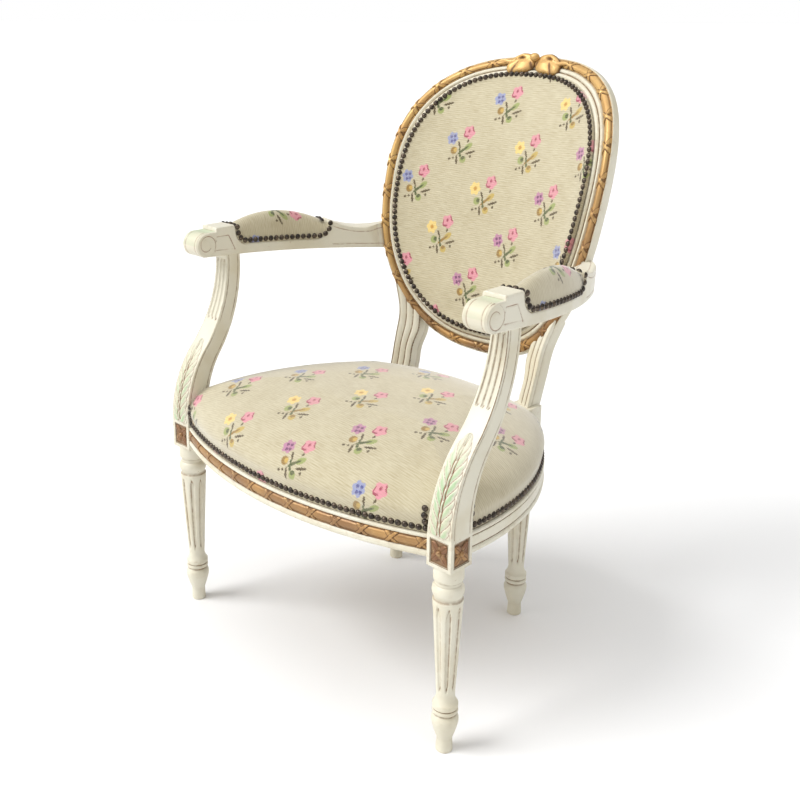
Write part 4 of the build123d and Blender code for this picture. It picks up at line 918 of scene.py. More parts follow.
@dataclass
class Legs:
    """Turned and fluted legs with their square blocks."""

    plan: SeatPlan
    flute_low: float = 0.104
    flute_high: float = 0.240
    flute_half: float = 0.0036
    flute_deep: float = 0.0027
    flutes: int = 8
    around: int = 128
    block_bottom: float = 0.301
    block_top: float = 0.351
    rear_block_top: float = 0.396
    panel: float = 0.030
    panel_deep: float = 0.002
    arris: float = 0.0009

    def profile(self) -> list[Flat]:
        """Radius and height up the turning, from the floor to the block."""
        points = [(0.0, 0.0), (0.0114, 0.0), (0.0124, 0.001), (0.0122, 0.006), (0.0118, 0.014)]
        points += arc((0.0116, 0.022), (0.0172, 0.039), (0.0199, 0.050), 9)
        points += arc((0.0199, 0.052), (0.0193, 0.0582), (0.0170, 0.062), 6)
        points += [(0.0164, 0.0626), (0.0164, 0.0646), (0.0176, 0.0652)]
        points += arc((0.0184, 0.0658), (0.0191, 0.0685), (0.0184, 0.0712), 6)
        points += [(0.0172, 0.0718), (0.0172, 0.0728), (0.0180, 0.0734), (0.0188, 0.0738)]
        points += [(0.0189, 0.0800), (0.0183, 0.0810)]
        points += arc((0.0172, 0.0822), (0.0146, 0.0882), (0.0139, 0.0970), 8)
        rise = 30
        points += [
            (blend(0.0139, 0.0223, i / rise), blend(0.0975, 0.2485, i / rise)) for i in range(rise + 1)
        ]
        points += [(0.0221, 0.2492), (0.0206, 0.2504), (0.0204, 0.2545), (0.0207, 0.2552)]
        points += arc((0.0212, 0.2558), (0.0234, 0.2635), (0.0212, 0.2712), 9)
        points += [(0.0200, 0.2722), (0.0192, 0.2732), (0.0190, 0.2760), (0.0193, 0.2788)]
        points += [(0.0204, 0.2798), (0.0217, 0.2812), (0.0220, 0.2830)]
        points += [(0.0220, 0.2960), (0.0216, 0.3000), (0.0216, 0.3030)]
        return points

    def turned(self, shell: Shell, foot: Flat) -> None:
        """Add one turned and fluted leg."""
        points = self.profile()
        last = len(points) - 1

        def place(u: float, v: float) -> Spot:
            radius, z = points[round(v * last)]
            turn = u * math.tau
            hollow, line = 0.0, 0.0
            room = min(z - self.flute_low, self.flute_high - z)
            if room > 0 and radius > 0:
                half = self.flute_half * radius / 0.018 * math.sqrt(clamp(room / 0.012))
                step = math.tau / self.flutes
                gap = math.remainder(turn, step) * radius
                hollow = math.sqrt(max(0.0, 1 - (gap / half) ** 2)) if half > 0 else 0.0
                line = ridge(gap - 0.62 * half, 0.42 * half) * (half > 0)
            groove = 0.0616 < z < 0.0652 or 0.0715 < z < 0.0735 or 0.2490 < z < 0.2510
            reach = radius - self.flute_deep * hollow
            spot = Vector((reach * math.cos(turn) + foot[0], reach * math.sin(turn) + foot[1], z))
            return Spot(spot, max(0.22 * hollow, 0.62 * line, 0.32 * groove))

        shell.patch(self.around, last, place)
        shell.close()

    def block(self, shell: Shell, foot: Flat, width: float, top: float, panels: bool) -> None:
        """Add one square block, with sunk panels at its front and outer faces.

        Args:
            shell: The mesh to add to.
            foot: The leg's place.
            width: The block's width.
            top: Height of its top.
            panels: Whether it has sunk panels.
        """
        middle = Vector((*foot, (self.block_bottom + top) / 2))
        matrix = Matrix.Translation(middle) @ Matrix.Diagonal((width, width, top - self.block_bottom, 1))
        made = bmesh.ops.create_cube(shell.bm, size=1, matrix=matrix)
        corners = set(made["verts"])
        rims = [e for e in shell.bm.edges if set(e.verts) <= corners]
        rounding = {"offset": self.arris, "segments": 2, "profile": 0.5, "affect": "EDGES"}
        bmesh.ops.bevel(shell.bm, geom=rims, material=-1, **rounding)
        if not panels:
            return
        shell.bm.normal_update()
        for way in (Vector((0, -1, 0)), Vector((1, 0, 0))):
            faces = [f for f in shell.bm.faces if f.normal.dot(way) > 0.999 and f.calc_area() > 0.001]
            face = max(faces, key=lambda f: f.calc_center_median().dot(way))
            sink = ((width - self.panel) / 2 - self.arris, 0.0), (0.0008, -0.0012), (0.0012, 0.0008)
            for thickness, depth in (*sink, (0.0008, -0.0016)):
                bmesh.ops.inset_individual(shell.bm, faces=[face], thickness=thickness, depth=depth)
            for vert in face.verts:
                vert[shell.wash] = 0.95


@dataclass
class FrontLegs(Legs):
    """Front legs, with a carved rosette on each face of their blocks that shows."""

    petal: float = 0.0188
    petal_half: float = 0.0062
    petal_high: float = 0.0030
    boss: float = 0.0042

    def rosette(self, shell: Shell, middle: Vector, right: Vector, out: Vector) -> None:
        """Add four pointed leaves on the diagonals, small buds between, and a boss."""
        up = Vector((0, 0, 1))
        for quarter in range(8):
            turn = math.pi / 4 * (quarter + 1)
            big = quarter % 2 == 0
            length = self.petal * (1.0 if big else 0.56)
            half = self.petal_half * (1.0 if big else 0.5)
            way = right * math.cos(turn) + up * math.sin(turn)
            square = right * -math.sin(turn) + up * math.cos(turn)

            def place(
                u: float, v: float, way=way, square=square, length=length, half=half, big=big
            ) -> Spot:
                share = 2 * v - 1
                width = half * math.sin(math.pi * clamp(0.06 + 0.94 * u) ** 1.25) ** 0.8
                vein = ridge(share, 0.30)
                high = self.petal_high * (0.35 + 0.65 * (1 - share * share)) * (1 if big else 0.7)
                high *= 0.55 + 0.45 * math.sin(math.pi * u) - 0.30 * vein * (u < 0.93)
                spot = middle + way * (0.001 + length * u) + square * width * share + out * high
                return Spot(spot, max(0.75 * vein, 0.9 * ease((abs(share) - 0.8) / 0.2)), 1.0)

            shell.patch(14, 10, place)
        matrix = Matrix.Translation(middle + out * 0.0016) @ Matrix.Diagonal((self.boss,) * 3 + (1,))
        shell.ball(matrix, 20, 0.9)

    def build(self, looks: Finishes) -> None:
        """Build both front legs and their rosettes."""
        gilt = Shell()
        for side in Side:
            shell = Shell()
            self.turned(shell, self.plan.front_leg)
            self.block(shell, self.plan.front_leg, self.plan.block, self.block_top, True)
            x, y = self.plan.front_leg
            z, seat = (self.block_bottom + self.block_top) / 2, self.plan.block / 2 - self.panel_deep
            flip = side.value
            front = Vector((flip * x, y - seat, z))
            outer = Vector((flip * (x + seat), y, z))
            self.rosette(gilt, front, Vector((1, 0, 0)), Vector((0, -1, 0)))
            self.rosette(gilt, outer, Vector((0, flip, 0)), Vector((flip, 0, 0)))
            shell.carry(side)
            name = f"front_leg_{side.tail}"
            shell.piece(f"{name}_carved", looks.cream, Slot.PAINT, [name])
        gilt.piece("leg_rosettes_carved", looks.gold, Slot.GILT, ["leg_rosettes"])


@dataclass
class RearLegs(Legs):
    """Rear legs, in one piece with the reeded posts that carry the oval."""

    back: BentBack = field(default_factory=BentBack)
    foot_up: float = -0.352
    head_up: float = -0.158
    waist_up: float = -0.256
    outer: float = 0.159
    inner: float = 0.127
    flare: float = 0.009
    lobe: float = 0.008
    front_depth: float = 0.006
    depth: float = 0.031
    reeds: int = 3
    reed_deep: float = 0.0030

    def edges(self, up: float) -> Flat:
        """Inner and outer across of the post at a height up the rake."""
        rise = ease((up - self.waist_up) / (self.head_up - self.waist_up))
        foot = ease((up - self.foot_up) / (self.waist_up - self.foot_up))
        outer = self.outer + self.flare / 3 * foot + 2.4 * self.flare * rise**1.4
        bulge = ridge(up - (self.waist_up - 0.028), 0.034)
        waist = ridge(up - self.waist_up + 0.002, 0.05)
        inner = self.inner + self.lobe * 0.1 * foot - self.lobe / 2 * waist
        inner += self.lobe * 0.35 * bulge + self.lobe / 2 * rise
        return inner, outer

    def lower_edge(self, across: float) -> float:
        """Height of the oval's lower edge at an across, found by halving."""
        low, high = -self.back.half_height, 0.0
        for _ in range(40):
            middle = (low + high) / 2
            if self.back.across_at(middle, 0) < across:
                low = middle
            else:
                high = middle
        return low

    def post(self, shell: Shell) -> None:
        """Add the left post: reeds at its front, a cove and bead at its outer side."""
        ring = faces_round(front=30, outer=12, back=10, inner=12)
        inner_head, outer_head = self.edges(self.head_up)
        tops = {share: self.lower_edge(blend(inner_head, outer_head, share)) for share in (0.0, 0.5, 1.0)}

        def head(share: float) -> float:
            first, middle, last = (tops[s] for s in (0.0, 0.5, 1.0))
            if share < 0.5:
                return blend(first, middle, share * 2) + 0.003
            return blend(middle, last, share * 2 - 1) + 0.003

        def place(u: float, part: tuple) -> Spot:
            face, share = part
            wide = {"front": share, "outer": 1.0, "back": 1 - share, "inner": 0.0}[face]
            up = blend(self.foot_up, head(wide), u)
            inner, outer = self.edges(up)
            depth, wash, across = self.front_depth, 0.0, blend(inner, outer, wide)
            if face == "front":
                wave = abs(math.sin(math.pi * self.reeds * share))
                body = ease((up - self.foot_up - 0.012) / 0.01)
                depth += (1 - wave**0.7) * self.reed_deep * body
                wash = 0.62 * (1 - wave) ** 3.0 * body
                depth += 0.0012 * ease((abs(2 * share - 1) - 0.93) / 0.07)
            elif face == "back":
                depth += self.depth
            else:
                depth += self.depth * (share if face == "outer" else 1 - share)
                cove = ridge(share - 0.30, 0.14)
                sign = -1 if face == "outer" else 1
                across += sign * 0.0016 * cove
                wash = 0.4 * cove**2
                across += sign * 0.0008 * ease((abs(2 * share - 1) - 0.9) / 0.1)
            return Spot(self.back.bent(across, up, depth), wash)

        shell.sweep(96, ring, place)
        shell.close()

    def build(self, looks: Finishes) -> None:
        """Build both rear legs."""
        for side in Side:
            shell = Shell()
            self.turned(shell, self.plan.rear_leg)
            self.block(shell, self.plan.rear_leg, self.plan.rear_block, self.rear_block_top, False)
            self.post(shell)
            shell.carry(side)
            name = f"rear_leg_{side.tail}"
            shell.piece(f"{name}_carved", looks.cream, Slot.PAINT, [name])


@dataclass
class SeatRails:
    """Moulded seat rails, the front one with a gilt ribbon and stick."""

    plan: SeatPlan
    bottom: float = 0.311
    ledge: float = 0.345
    top: float = 0.362
    setback: float = 0.0058
    thickness: float = 0.028
    over: float = 0.002
    stations: int = 90
    ribbon_low: float = 0.322
    ribbon_high: float = 0.339
    ribbon_seat: float = 0.003
    ribbon_proud: float = 0.0030
    ribbon_period: float = 0.046

    def closing(self) -> list[tuple]:
        """The profile's upper and inner points, shared by all rails."""
        inner, low, high = self.thickness, self.bottom, self.top
        return [
            (0.0008, self.ledge, 0),
            (self.setback, self.ledge + 0.0002, 0.7),
            (self.setback, high, 0),
            (inner, high, 0),
            (inner, low, 0),
        ]

    def side_profile(self) -> list[tuple]:
        """Inset, height and wash round a plain moulded rail."""
        lower = [(0.0020, 0.3110), (0.0003, 0.3115), (-0.0010, 0.3132), (-0.0015, 0.3158)]
        lower += [(-0.0010, 0.3184), (0.0004, 0.3199)]
        points = [(inset, z, 0.0) for inset, z in lower]
        points += [(0.0018, 0.3206, 0.9), (0.0018, 0.3214, 0.9), (0.0002, 0.3222, 0)]
        points += [(-0.0003, 0.3250, 0), (-0.0004, 0.3300, 0), (-0.0003, 0.3345, 0), (0.0002, 0.3368, 0)]
        points += [(0.0016, 0.3376, 0.9), (0.0016, 0.3383, 0.9), (-0.0002, 0.3392, 0)]
        points += [(-0.0010, 0.3406, 0), (-0.0011, 0.3424, 0), (-0.0004, 0.3440, 0)]
        return points + self.closing()

    def front_profile(self) -> list[tuple]:
        """Inset, height and wash round the front rail, with its channel."""
        seat = self.ribbon_seat
        points = [(0.0020, 0.3110, 0), (0.0003, 0.3115, 0), (-0.0012, 0.3132, 0)]
        points += [(-0.0017, 0.3160, 0), (-0.0012, 0.3188, 0), (0.0000, 0.3204, 0)]
        points += [(0.0012, 0.3212, 0.6), (seat, self.ribbon_low, 1.0), (seat, self.ribbon_high, 1.0)]
        points += [(0.0010, 0.3396, 0.6), (-0.0004, 0.3402, 0), (-0.0011, 0.3416, 0)]
        points += [(-0.0010, 0.3432, 0), (-0.0002, 0.3444, 0)]
        return points + self.closing()

    def rail(self, at: Callable, profile: list[tuple]) -> Shell:
        """A rail that carries a profile along an arc of the plan."""
        shell = Shell()

        def place(u: float, part: tuple) -> Spot:
            inset, z, wash = part
            return Spot(Vector((*at(u, inset, self.over), z)), wash)

        shell.sweep(self.stations, profile, place)
        return shell

    def ribbon(self) -> Shell:
        """The front rail's gilt moulding."""
        shell = Shell()
        length = 2 * self.plan.front_end[0] * 1.03
        ring = [(2 * i / 16 - 1, True) for i in range(17)] + [(1.0, False), (-1.0, False)]

        def place(u: float, part: tuple) -> Spot:
            share, carved = part
            high, wash = ribbon_and_stick((u - 0.5) * length, share, self.ribbon_period)
            proud = blend(-self.ribbon_seat, self.ribbon_proud, high if carved else -0.1)
            z = blend(self.ribbon_low, self.ribbon_high, (share + 1) / 2)
            return Spot(Vector((*self.plan.front_at(u, -proud), z)), wash, 0.85)

        shell.sweep(760, ring, place)
        return shell

    def build(self, looks: Finishes) -> None:
        """Build the four rails and the gilt moulding."""
        front = self.rail(self.plan.front_at, self.front_profile())
        front.piece("front_rail_moulded", looks.cream, Slot.PAINT, ["front_rail"])
        gilt = self.ribbon()
        gilt.piece("front_rail_ribbon", looks.gold, Slot.GILT, ["front_rail_moulding"])
        rear = self.rail(self.plan.rear_at, self.side_profile())
        rear.piece("rear_rail_moulded", looks.cream, Slot.PAINT, ["rear_rail"])
        for side in Side:
            shell = self.rail(self.plan.side_at, self.side_profile())
            shell.carry(side)
            name = f"side_rail_{side.tail}"
            shell.piece(f"{name}_moulded", looks.cream, Slot.PAINT, [name])


@dataclass
class OvalFrame:
    """The four moulded members of the oval, the gilt ribbon round it and the bow at its head."""

    back: BentBack
    joint_up: float = 0.120
    ribbon_inset: float = 0.0024
    ribbon_width: float = 0.0146
    ribbon_floor: float = 0.0105
    ribbon_tilt: float = 0.0034
    ribbon_high: float = 0.0085
    ribbon_period: float = 0.0565
    bow_inset: float = 0.0160
    bow_lobe: Flat = (0.0285, 0.0188)
    bow_across: float = 0.0283
    bow_high: float = 0.0105
    bow_seat: float = 0.0060
    bow_low: float = -0.0022
    knot: float = 0.0090

    def profile(self) -> list[tuple]:
        """Inset, depth and wash round a member, from the back over the outer edge to the front."""
        points = [(0.048, 0.0300, 0), (0.0030, 0.0300, 0), (0.0008, 0.0292, 0), (0.0, 0.0270, 0)]
        points += [(0.0, 0.0220, 0), (0.0, 0.0160, 0), (0.0003, 0.0142, 0), (0.0010, 0.0130, 0)]
        points += [(0.0022, 0.0130, 0), (0.0030, 0.0145, 0.6), (0.0100, 0.0110, 0.6)]
        points += [(0.0168, 0.0080, 0.6), (0.0180, 0.0064, 0.4), (0.0190, 0.0040, 0.1)]
        points += [(0.0204, 0.0022, 0), (0.0222, 0.0014, 0), (0.0244, 0.0018, 0.1)]
        points += [(0.0256, 0.0034, 0.42), (0.0266, 0.0034, 0.42), (0.0274, 0.0010, 0.2)]
        points += [(0.0284, -0.0012, 0), (0.0298, -0.0026, 0), (0.0316, -0.0032, 0)]
        points += [(0.0334, -0.0028, 0), (0.0346, -0.0018, 0.2), (0.0356, -0.0016, 0.5)]
        points += [(0.048, -0.0016, 0), (0.048, 0.0140, 0)]
        return points

    def member(self, turns: Callable[[float], Flat], stations: int) -> Shell:
        """One member between two turns that depend on the inset."""
        shell = Shell()

        def place(u: float, part: tuple) -> Spot:
            inset, depth, wash = part
            first, last = turns(inset)
            across, up = self.back.oval(blend(first, last, u), inset)
            return Spot(self.back.bent(across, up, depth), wash)

        shell.sweep(stations, self.profile(), place)
        return shell

    def ribbon(self) -> Shell:
        """The gilt ribbon and stick, all round the oval."""
        shell = Shell()
        middle = self.ribbon_inset + self.ribbon_width / 2
        turns, lengths = self.back.walk(middle, 0.0)
        total = float(lengths[-1])
        rounds = round(total / self.ribbon_period)
        period = total / rounds
        ring = [(2 * i / 14 - 1, True) for i in range(15)] + [(1.0, False), (-1.0, False)]

        def place(u: float, part: tuple) -> Spot:
            share, carved = part
            turn = float(np.interp(u * total, lengths, turns))
            high, wash = ribbon_and_stick(u * total, share, period)
            depth = self.ribbon_floor - self.ribbon_tilt * share
            depth -= self.ribbon_high * (high if carved else -0.1)
            across, up = self.back.oval(turn, middle + share * self.ribbon_width / 2)
            # Painted shade: the gilt turns towards its dark copper-brown colour at the bottom of the oval
            # and on the sitter's left.
            shade = 0.15 + 0.7 * ease((0.10 - up + 0.5 * across) / 0.32)
            return Spot(self.back.bent(across, up, depth), wash, shade)

        shell.sweep(rounds * 34, ring, place)
        return shell

    def bow(self) -> Shell:
        """Two drooping pleated loops, short tails and a round knot."""
        shell = Shell()
        base_up = self.back.half_height - self.bow_inset
        long, tall = self.bow_lobe

        for sign in (-1, 1):

            def lobe(u: float, v: float, sign=sign) -> Spot:
                turn, ring = u * math.tau, math.sin(v * math.pi / 2)
                c, s = math.cos(turn), math.sin(turn)
                across = long * ring * math.copysign(abs(c) ** 0.85, c)
                up = tall * ring * math.copysign(abs(s) ** (0.8 if s > 0 else 1.0), s)
                fan = math.atan2(across + sign * 0.25 * long, 1.6 * tall - up)
                pleat = abs(math.cos(3.6 * fan))
                dome = max(0.0, 1 - ring**5) ** 0.5
                mouth_across = (across - sign * 0.05 * long) / (0.40 * long)
                mouth = ridge(math.hypot(mouth_across, (up - 0.50 * tall) / (0.24 * tall)), 1.0)
                roll = ridge(up - 0.86 * tall, 0.30 * tall)
                low = ease((0.45 * tall - up) / (0.5 * tall))
                high = self.bow_high * dome * (0.74 + 0.26 * pleat * low + 0.12 * roll) - 0.005 * mouth
                x = sign * self.bow_across + across
                y = base_up + up - 0.35 * max(0.0, abs(x) - 0.030)
                depth = blend(self.bow_low, self.bow_seat, 0.5 + 0.5 * up / tall) - high
                wash = max(0.9 * (1 - pleat) ** 3 * low, 0.85 * mouth, 0.7 * ease((ring - 0.9) / 0.1))
                return Spot(self.back.bent(x, y, depth), wash, 0.12)

            shell.patch(96, 26, lobe)

            def tail(u: float, v: float, sign=sign) -> Spot:
                turn = v * math.tau
                x = sign * blend(0.040, 0.082, u)
                inset = 0.011 + 0.002 * math.sin(u * 7)
                up = self.back.oval(math.acos(clamp(abs(x) / self.back.half_width) ** 1.2), inset)[1]
                thin = 0.0045 * (1 - 0.75 * u)
                up += thin * math.cos(turn)
                depth = -0.001 - 0.004 * (1 - u) * (0.5 + 0.5 * math.sin(turn))
                return Spot(self.back.bent(x, up, depth), 0.0, 0.3)

            shell.patch(20, 12, tail)
        middle = self.back.bent(0, self.back.half_height - 0.006, -0.006)
        matrix = Matrix.Translation(middle) @ Matrix.Rotation(self.back.rake, 4, "X").inverted()
        matrix = matrix @ Matrix.Diagonal((self.knot, 0.008, self.knot * 0.82, 1))
        shell.ball(matrix, 28, 0.15)
        return shell

    def build(self, looks: Finishes) -> None:
        """Build the members, the ribbon and the bow."""
        up, back = self.joint_up, self.back
        high, low = partial(back.turn_at, up), partial(back.turn_at, -up)
        ranges = {
            "back_top_rail": (lambda i: (high(i), math.pi - high(i)), 170),
            "back_stile_right": (lambda i: (math.pi - high(i), math.pi - low(i)), 90),
            "back_bottom_rail": (lambda i: (math.pi - low(i), math.tau + low(i)), 170),
            "back_stile_left": (lambda i: (low(i), high(i)), 90),
        }
        for name, (turns, stations) in ranges.items():
            shell = self.member(turns, stations)
            shell.piece(f"{name}_moulded", looks.cream, Slot.PAINT, [name])
        self.ribbon().piece("back_ribbon", looks.gold, Slot.GILT, ["back_ribbon_moulding"])
        self.bow().piece("crest_bow_carved", looks.gold, Slot.GILT, ["crest_bow"], crease=60)


@dataclass
class ArmLine:
    """Middle line, underside and dish of the left arm."""

    width: float = 0.040
    front_x: float = 0.309
    turn_y: float = -0.1538
    radius: float = 0.577
    rear_y: float = 0.1792
    scroll_y: float = -0.2128
    scroll_z: float = 0.653
    scroll: float = 0.021
    fall: float = 0.066
    step_rise: float = 0.0065
    step_y: float = -0.1918
    pad_front_y: float = -0.1518
    pad_rear_y: float = 0.0462
    pad_front_z: float = 0.676
    pad_rear_z: float = 0.662
    dish_run: float = 0.024
    dish_front_z: float = 0.645
    dish_rear_z: float = 0.635
    pad_rise: float = 0.023
    pad_end: float = 0.003
    pad_round: float = 0.013
    dip_y: float = 0.0862
    dip_z: float = 0.653
    end_z: float = 0.661
    lip: float = 0.004

    def centre(self, y: float) -> tuple[float, float]:
        """X of the middle line at y, and the line's lean there."""
        lean = math.asin(clamp((y - self.turn_y) / self.radius, 0, 1))
        return self.front_x - self.radius + self.radius * math.cos(lean), lean

    def spot(self, y: float, offset: float, z: float) -> Vector:
        """Place of a point an offset to the outer side of the middle line."""
        x, lean = self.centre(y)
        return Vector((x + offset * math.cos(lean), y + offset * math.sin(lean), z))

    def underside(self, y: float) -> float:
        """Z of the arm's underside."""
        return self.scroll_z - self.scroll - self.fall * (y - self.scroll_y)

    def dish(self, y: float) -> float:
        """Z of the hollow under the pad."""
        front, rear = self.pad_front_y + self.dish_run, self.pad_rear_y - self.dish_run
        if y < front:
            gap = clamp((front - y) / self.dish_run)
            rise = self.pad_front_z - self.dish_front_z
            return self.dish_front_z + rise * (1 - math.sqrt(1 - gap * gap))
        if y > rear:
            gap = clamp((y - rear) / self.dish_run)
            rise = self.pad_rear_z - self.dish_rear_z
            return self.dish_rear_z + rise * (1 - math.sqrt(1 - gap * gap))
        return blend(self.dish_front_z, self.dish_rear_z, (y - front) / (rear - front))

    def pad_top(self, y: float, offset: float) -> float:
        """Z of the pad's top, an offset to one side of the middle line."""
        share = (y - self.pad_front_y) / (self.pad_rear_y - self.pad_front_y)
        swell = 1 - (2 * share - 1) ** 2
        crown = blend(self.pad_front_z, self.pad_rear_z, share) + self.pad_rise * swell
        rise = self.pad_end + self.pad_round * swell
        radius = ((self.width / 2) ** 2 + rise * rise) / (2 * rise)
        return crown - radius + math.sqrt(radius * radius - offset * offset)


@dataclass
class Arms:
    """Scrolled arms with a step in front of the pad and a dish under it."""

    line: ArmLine
    back: BentBack
    corner: float = 0.0030
    groove_deep: float = 0.0008
    panel_top: float = 0.0160
    panel_low: float = 0.0105
    line_top: float = 0.0085
    line_low: float = 0.0075
    eye: float = 0.0080
    disc: float = 0.0012
    meeting: float = 0.006
    sunk: float = 0.004
    reach: float = 0.026

    def tops(self) -> list[Flat]:
        """Y and Z of the arm's top, from the scroll to the back."""
        line = self.line
        top, step = line.scroll_z + line.scroll, line.scroll_z + line.scroll + line.step_rise
        points = [(blend(line.scroll_y, line.step_y - 0.0008, i / 14), top) for i in range(15)]
        points += [(line.step_y - 0.0003, top + 0.0002), (line.step_y, top + 0.0009)]
        points += [(line.step_y + 0.0002, step - 0.0012), (line.step_y + 0.0012, step)]
        ledge = line.pad_front_y - 0.0006
        points += [(blend(line.step_y + 0.002, ledge - 0.0008, i / 28), step) for i in range(29)]
        points += [(ledge, step - 0.0010), (ledge + 0.0004, line.pad_front_z - 0.0010)]
        run, count = line.dish_run, 12
        for i in range(count + 1):
            y = line.pad_front_y + run * (1 - math.cos(math.pi / 2 * i / count))
            points.append((y, line.dish(y)))
        first, last = line.pad_front_y + run, line.pad_rear_y - run
        level = [blend(first, last, i / 14) for i in range(1, 14)]
        points += [(y, line.dish(y)) for y in level]
        for i in range(count + 1):
            y = last + run * math.sin(math.pi / 2 * i / count)
            points.append((y, line.dish(y)))
        points += [(line.pad_rear_y + 0.0004, line.pad_rear_z + 0.002)]
        lip = (line.pad_rear_y + line.lip, line.pad_rear_z + line.lip)
        points += [(lip[0] - 0.0022, lip[1] - 0.0003)]
        tail = arc(lip, (line.dip_y, line.dip_z), (line.rear_y, line.end_z), 40)
        points += [(y, z if y < line.dip_y else min(z, line.dip_z)) for y, z in tail]
        return points

    def ring(self) -> list[tuple]:
        """Section of the arm: offset, share of its height, and height above that."""
        half, corner, rows = self.line.width / 2, self.corner, 28
        lower = [(half * s / 4, 0, 0.0) for s in range(-3, 4)]
        rise = [(half - corner * 0.7, 0, 0.0002), (half - 0.0008, 0, 0.0009)]
        rise += [(half, row / rows, corner * (1 - 2 * row / rows)) for row in range(rows + 1)]
        rise += [(half - 0.0008, 1, -0.0009), (half - corner * 0.7, 1, -0.0002)]
        upper = [(half * s / 8, 1, 0.0) for s in range(6, -7, -1)]
        fall = [(-offset, level, high) for offset, level, high in reversed(rise)]
        return lower + rise + upper + fall

    def incised(self, y: float, over: float, under: float) -> float:
        """Depth from 0 to 1 of the lines cut in the arm's sides.

        Args:
            y: Place along the arm.
            over: Distance up from the underside.
            under: Distance down from the top.

        Returns:
            The lines' depth.
        """
        line = self.line
        first, last = line.scroll_y + 0.016, line.pad_front_y - 0.014
        depth = 0.0
        if y < line.pad_front_y + 0.004:
            tall = max(under + over - self.panel_low - self.panel_top, 0.001)
            lean = clamp((over - self.panel_low) / tall)
            end = blend(line.pad_front_y - 0.001, last, lean)
            inside = ease((y - first) / 0.002) * ease((end + 0.001 - y) / 0.002)
            edges = under - self.panel_top, over - self.panel_low
            depth = max(ridge(gap, 0.0014) for gap in edges) * inside
            if over > self.panel_low - 0.001 and under > self.panel_top - 0.001:
                depth = max(depth, ridge(y - end, 0.0018))
        elif y > line.pad_rear_y + 0.004:
            inside = ease((y - line.pad_rear_y - 0.004) / 0.004)
            edges = under - self.line_top, over - self.line_low
            depth = max(ridge(gap, 0.0015) for gap in edges) * inside
        return depth

    def body(self, shell: Shell) -> None:
        """Add the arm's body, ending in the oval's outer wall."""
        tops, line, back = self.tops(), self.line, self.back
        last = len(tops) - 1
        ys, zs = zip(*tops)

        def drawn(point: Vector) -> tuple[Vector, float]:
            local = point - back.origin
            up, ahead = local.dot(back.up), local.dot(back.ahead)
            limit = back.across_at(up, 0.0)
            gap = local.x - limit
            across = limit + 0.5 * (gap + math.hypot(gap, self.meeting))
            depth = math.hypot(across, back.radius - ahead) - back.radius
            across -= self.sunk * ease((depth - 0.003) / 0.006) * ease((0.008 - gap) / 0.008)
            return Vector((across, point.y, point.z)), depth

        def place(u: float, part: tuple) -> Spot:
            offset, level, high = part
            y, top = tops[round(u * last)]
            low = line.underside(y)
            z = blend(low, top, level) + high
            cut = self.incised(y, z - low, top - z) if abs(offset) == line.width / 2 else 0.0
            wash = 0.62 * cut
            sunk = offset - math.copysign(self.groove_deep * cut, offset)
            point = line.spot(y, sunk, z)
            if y > line.dip_y - 0.04:
                point, depth = drawn(point)
                while depth > self.reach:
                    y -= 0.001
                    z = blend(line.underside(y), float(np.interp(y, ys, zs)), level) + high
                    point, depth = drawn(line.spot(y, sunk, z))
            upper = level == 1 and high == 0.0
            tint_and_shade = 0.55 if upper and y < line.step_y else 0.0
            if upper and y > line.pad_rear_y + 0.01:
                flare = abs(abs(offset) - line.width / 4)
                wash = 0.45 * ease((0.0026 - flare) / 0.002)
            return Spot(point, wash, tint_and_shade)

        shell.sweep(last, self.ring(), place)
        shell.close()

    def scroll(self, shell: Shell) -> None:
        """Add the round scroll with a spiral line and an eye on both faces."""
        line, half = self.line, self.line.width / 2
        rim, around, over = 0.30, 96, 102

        def place(u: float, v: float) -> Spot:
            turn = u * math.tau
            share = abs(2 * v - 1)
            face = 1 if v > 0.5 else -1
            wash = 0.0
            if share < rim:
                radius = line.scroll
                offset = face * (half - 0.0022) * share / rim
                radius -= 0.0006 * ridge(share - rim * 0.72, 0.05)
                wash = 0.5 * ridge(share - rim * 0.72, 0.04)
            else:
                inward = 1 - (share - rim) / (1 - rim)
                radius = line.scroll * clamp(inward * 1.06)
                lip = ease((line.scroll - radius) / 0.0022)
                offset = half + self.disc - 0.0030 * (1 - lip)
                wind = radius / line.scroll - 0.36 - 0.5 * ((turn * face / math.tau) % 1.0)
                line_deep = max(ridge(wind, 0.07), ridge(wind - 0.5, 0.07))
                line_deep *= ease((radius / line.scroll - 0.40) / 0.05)
                boss = math.sqrt(max(0.0, 1 - (radius / self.eye) ** 2))
                offset += 0.0006 * boss - 0.0009 * line_deep
                wash = 0.6 * line_deep
                offset *= face
            y = line.scroll_y + radius * math.cos(turn)
            z = line.scroll_z + radius * math.sin(turn)
            return Spot(line.spot(y, offset, z), wash, 0.4 if share < rim and z > line.scroll_z else 0.0)

        shell.patch(around, over, place)
        shell.close()

    def build(self, looks: Finishes) -> None:
        """Build both arms."""
        for side in Side:
            shell = Shell()
            self.body(shell)
            self.scroll(shell)
            shell.carry(side)
            name = f"arm_{side.tail}"
            shell.piece(f"{name}_carved", looks.leaf, Slot.PAINT, [name])


